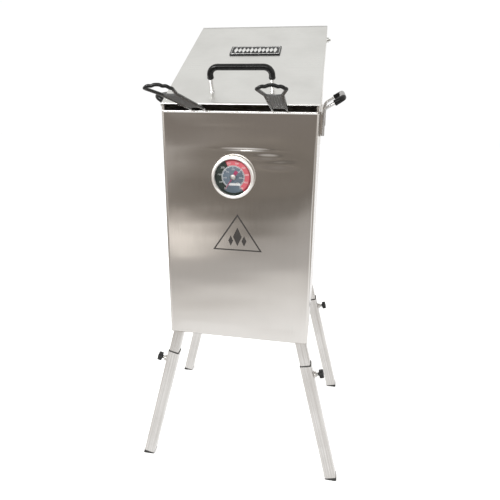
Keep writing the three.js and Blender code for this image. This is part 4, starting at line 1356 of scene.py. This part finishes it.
def grip_axes(word):
    low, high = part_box(f"basket_{word}")
    foot = Vector(((low.x + high.x) / 2, (PANEL_FACE + GRIP["foot_y"]) * MM, GRIP["foot_z"] * MM))
    return Matrix.Translation(foot) @ Matrix.Rotation(GRIP_TURN[word], 4, "Z")


def basket_handle(word):
    g = GRIP
    body = f"basket_and_handle_{word}"
    place = grip_axes(word)
    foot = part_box(f"basket_handle_{word}")[0].z / MM - g["foot_z"]
    bare = []
    for wing in (-1, 1):
        corners = [(wing * g["wire"], 0, foot), (wing * g["wire"], 0, 0), (wing * g["wire"], *grip_arm(0.2))]
        bare.append(tube(rounded_path(corners, g["bend"], 6), g["bare"], 16, end_round=0.8))
    bare.append(tube([(-g["wire"], 0, foot + 8), (g["wire"], 0, foot + 8)], 1.8, 12))
    piece(f"basket_handle_wire_{word}", together(*bare), rod_chrome, body, place)
    arm = [(g["wire"], *grip_arm(0.17)), (g["wire"], *grip_arm(1.0)), (g["bar"], g["bar_y"], g["bar_z"])]
    back = [(-x, y, z) for x, y, z in reversed(arm)]
    path = bowed_bar(rounded_path(arm + back, g["bend"], 7))
    loop = tube(path, g["coat"], 20, end_round=1.0)
    piece(f"basket_handle_loop_{word}", loop, wire_coating, body, place,
          replaces=[f"basket_handle_{word}"])
    basket_plate(place, word, body)


def bowed_bar(path):
    """The far bar bows up between its corners, with a shallow dip for a finger on each side of its middle."""
    b = BAR_BOW
    made = []
    for point, after in zip(path, path[1:]):
        made.append(point)
        if abs(point.y - GRIP["bar_y"]) < 0.5 and (after - point).length > 10:
            made.extend(point.lerp(after, step / 24) for step in range(1, 24))
    made.append(path[-1])
    for point in made:
        if abs(point.y - GRIP["bar_y"]) < 4.0:
            share = min(1.0, abs(point.x) / b["reach"])
            dip = hollow(b["dip"], abs(point.x) - b["dip_at"], b["dip_width"])
            point.z += b["rise"] * (1 - share ** 3) - dip
    return made


def basket_plate(place, word, body):
    """The pressed plate that fills the gap between the wires, with long ribs and a curled upper edge."""
    p = GRIP_PLATE
    start, end = Vector((0, *grip_arm(0.2))), Vector((0, *grip_arm(0.985)))
    along = (end - start).normalized()
    up = X.cross(along)
    up = up if up.z > 0 else -up
    length = (end - start).length
    half = GRIP["wire"] - 0.6
    rows, columns = 36, 48
    points = []
    for row in range(rows + 1):
        share = row / rows
        for column in range(columns + 1):
            x = half * (2 * column / columns - 1)
            middle = 1 - (x / half) ** 2
            reach = length * share - p["end"] * middle * share ** 8 + p["end"] * middle * (1 - share) ** 8
            fade = min(1.0, 12 * share * (1 - share))
            wave = p["rib"] * math.cos(2 * math.pi * x / p["rib_pitch"])
            rib = wave * fade if abs(x) < half - p["plain_edge"] else 0.0
            curl = p["curl"] * max(0.0, share - p["curl_from"]) / (1 - p["curl_from"])
            spot = start + along * reach + up * (rib + curl)
            points.append((x, spot.y, spot.z))
    faces = grid_faces(rows, columns)
    plate = piece(f"basket_grip_plate_{word}", (points, faces), plate_paint, body, place,
                  replaces=[f"basket_handle_plate_{word}"])
    solid_sheet(plate, 0.8, offset=0.0)


for _, basket_word in SIDES:
    basket(basket_word)
    basket_handle(basket_word)


# ------------------------------------------------------------------ gas fitting and drain lever
def gas_fitting():
    low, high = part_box("gas_orifice_fitting")
    place = axes(Vector((0, high.y, (low.z + high.z) / 2)), X, -Z, Y)
    length = (high.y - low.y) / MM
    flare = threaded(6.8, 1.3, -11.0, -0.6)
    mouth = [(6.2, -1.2), (6.6, -0.5), (6.2, 0), (3.4, 0), (3.0, -0.6)]
    collar = turned([(0, -1.2), *mouth, (3.0, -9), (0, -9)], 32)
    spud = turned([(0, -length), (3.8, -length), (6.0, -length + 4), (6.2, -15.6), (0, -15.6)], 32)
    fitting = together(hex_nut(16.4, -16.0, -10.2), flare, collar, spud)
    piece("gas_spud", fitting, brass_metal, "fryer_body", place,
          replaces=["gas_orifice_fitting"])


def drain_lever():
    low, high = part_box("drain_valve_lever")
    pivot = Vector(joints["drain_lever_turn"]["pos_m"])
    reach = (high.x - pivot.x) / MM
    back = (pivot.x - low.x) / MM
    face = (high.y - pivot.y) / MM
    place = axes(pivot, X, -Z, Y)
    outline = rounded_rectangle((reach + back) / 2, 7.0, 5.0, 6, ((reach - back) / 2, 0.0))
    arm = softened(outline, 0.4, face - 3.0, face)
    shaft = turned([(0, 12.9), (4.0, 12.9), (4.0, face - 2), (0, face - 2)], 24)
    nut = hex_nut(9.0, face - 0.2, face + 2.6)
    piece("drain_lever_arm", together(arm, shaft, nut), zinc, "drain_lever", place,
          replaces=["drain_valve_lever"])
    sleeve_outline = rounded_rectangle(reach * 0.36, 8.0, 6.0, 8, (reach * 0.66, 0.0))
    sleeve = softened(sleeve_outline, 1.2, face - 4.2, face + 1.2, 3)
    piece("drain_lever_sleeve", sleeve, red_vinyl, "drain_lever", place)


gas_fitting()
drain_lever()


# ------------------------------------------------------------------ floor, sky and lamps
FLOOR_HALF = 5.0
FLOOR_SLANT = 0.42  # the floor's seams run a little aslant to the front panel
FLOOR_BOW = -1.2  # and bend away from it to either side, once they are this far ahead in metres
BOW_AHEAD = (1.2, 2.1)
FLOOR_ORIGIN_X = -0.45
FLOOR_REACH = 5.0
PATCH_X = (-0.30, -0.50)  # where the left bands take over
ASIDE_X = (0.95, 1.35)  # where the bands end to either side
# What polished steel finds in the floor at a distance in front of the panel: metres, brightness, warmth.
FLOOR_NEAR = ((0.42, 1.12, 0.0), (0.52, 1.02, 0.005), (0.62, 0.93, 0.015), (0.74, 0.83, 0.025),
              (0.87, 0.74, 0.03), (1.0, 0.54, 0.035), (1.18, 0.51, 0.04))
FLOOR_RIGHT = FLOOR_NEAR + ((1.4, 0.48, 0.05), (1.52, 0.46, 0.06), (1.66, 0.30, 0.08), (1.95, 0.17, 0.10),
                            (2.4, 0.19, 0.11), (2.9, 0.27, 0.11), (3.3, 0.19, 0.11), (3.9, 0.28, 0.11),
                            (4.7, 0.22, 0.11))
FLOOR_LEFT = FLOOR_NEAR + ((1.27, 0.60, 0.05), (1.36, 0.76, 0.055), (1.52, 1.02, 0.055), (1.68, 1.14, 0.055),
                           (1.84, 0.95, 0.06), (1.95, 0.42, 0.09), (2.12, 0.2, 0.11), (2.5, 0.24, 0.11),
                           (2.85, 0.19, 0.11), (3.3, 0.27, 0.11), (3.7, 0.21, 0.11), (4.2, 0.27, 0.11),
                           (4.5, 0.44, 0.11), (4.8, 0.27, 0.11))
# What polished steel finds around it, from straight down to straight up.
SKY_LEVELS = ((0.0, (0.24, 0.215, 0.19)), (0.47, (0.25, 0.222, 0.20)), (0.515, (0.30, 0.28, 0.26)),
              (0.60, (0.60, 0.59, 0.57)), (0.80, (0.82, 0.82, 0.80)), (1.0, (0.95, 0.95, 0.94)))


def warmed(level, warmth):
    return level, level * (1 - warmth), level * (1 - 2 * warmth)


def floor_tone(look):
    """What steel finds in the floor: bands that run aslant and bowed across it, other ones on the left."""
    x, y, _ = look.add("SeparateXYZ", Vector=look.place).outputs
    ahead = look.maths("SUBTRACT", PANEL_FACE * MM, y)
    sideways = look.maths("SUBTRACT", x, FLOOR_ORIGIN_X)
    aslant = look.maths("MULTIPLY", sideways, FLOOR_SLANT)
    bow = look.maths("MULTIPLY", look.spread(ahead, 0.0, 1.0, *BOW_AHEAD), FLOOR_BOW)
    bowed = look.maths("MULTIPLY", look.maths("MULTIPLY", sideways, sideways), bow)
    straightened = look.maths("ADD", look.maths("SUBTRACT", ahead, aslant), bowed)
    share = look.maths("DIVIDE", straightened, FLOOR_REACH)
    bands = []
    for stops in (FLOOR_RIGHT, FLOOR_LEFT):
        tones = [(reach / FLOOR_REACH, warmed(level, warmth)) for reach, level, warmth in stops]
        bands.append(look.ramp(share, tones))
    tone = look.blend(look.spread(x, 0.0, 1.0, *PATCH_X), *bands)
    aside = look.spread(look.maths("ABSOLUTE", x, 0.0), 0.0, 1.0, *ASIDE_X)
    return look.blend(aside, tone, rgb(0.5, 0.47, 0.44))


def floor():
    """Pale paper to the eye. Its far part is dimmer in what the steel reflects, as in a real room."""
    mesh = bpy.data.meshes.new("floor")
    corners = [(x * FLOOR_HALF, y * FLOOR_HALF, 0) for x, y in ((-1, -1), (1, -1), (1, 1), (-1, 1))]
    mesh.from_pydata(corners, [], [[0, 1, 2, 3]])
    obj = bpy.data.objects.new("floor", mesh)
    scene.collection.objects.link(obj)
    look = Look("floor_paper", Roughness=0.9, Specular_IOR_Level=0.1)
    mottle = look.spread(look.noise(3, 3.0), 0.0, 1.0)
    look.set(Base_Color=look.blend(mottle, rgb(0.80, 0.80, 0.795), rgb(0.78, 0.78, 0.775)),
             Emission_Color=rgb(1, 1, 1), Emission_Strength=0.3)
    dim = look.add("Emission", Color=floor_tone(look))
    glossy = look.add("LightPath").outputs["Is Glossy Ray"]
    look.feed(look.surface, look.mixed(glossy, look.shader, dim))
    mesh.materials.append(look.material)


def sky():
    """White to the eye. Shiny steel finds a pale ceiling, bright sides and back, and a dim room in front."""
    world = bpy.data.worlds.new("studio")
    scene.world = world
    world.use_nodes = True
    world.node_tree.nodes.clear()
    look = Shading(world.node_tree)
    x, y, z = look.add("SeparateXYZ", Vector=look.add("TexCoord").outputs["Generated"]).outputs

    def eased(value, start, end):
        return look.spread(value, 0.0, 1.0, start, end, "SMOOTHSTEP")

    tone = look.ramp(look.spread(z, 0.0, 1.0, -1.0, 1.0), SKY_LEVELS)
    behind = look.maths("MULTIPLY", eased(y, 0.1, 0.7), eased(z, 0.45, 0.1))
    tone = look.blend(behind, tone, rgb(1.0, 0.985, 0.96))
    sideways = look.maths("MULTIPLY", eased(look.maths("ABSOLUTE", x), 0.55, 0.85), eased(z, -0.3, 0.05))
    room = look.add("Background", Color=look.blend(sideways, tone, rgb(1.25, 1.22, 1.18)))
    white = look.add("Background", Color=rgb(1, 1, 1), Strength=1.02)
    to_the_eye = look.add("LightPath").outputs["Is Camera Ray"]
    look.add("OutputWorld", Surface=look.mixed(to_the_eye, room, white))


def lamp(name, place, aim, size, watts, shiny):
    """A soft lamp. One that isn't shiny lights dull surfaces and doesn't show in polished ones."""
    data = bpy.data.lights.new(name, "AREA")
    data.shape = "RECTANGLE"
    data.size, data.size_y = size
    data.energy = watts
    obj = bpy.data.objects.new(name, data)
    scene.collection.objects.link(obj)
    turn = (Vector(place) - Vector(aim)).to_track_quat("Z", "Y").to_matrix().to_4x4()
    obj.matrix_world = Matrix.Translation(place) @ turn
    obj.visible_camera = False
    obj.visible_glossy = shiny


floor()
sky()
lamp("key_light", (-1.5, -1.8, 1.9), (0, 0, 0.7), (1.0, 1.0), 50, True)
lamp("strip_light", (-0.2, -2.2, 1.95), (0, 0, 0.8), (2.6, 0.3), 26, True)
lamp("fill_light", (1.6, -1.6, 1.7), (0, 0, 0.6), (1.4, 1.4), 34, False)
lamp("rim_light", (-0.2, 2.3, 2.35), (0, 0, 0.9), (2.4, 0.7), 30, False)
scene.view_settings.view_transform = "Standard"
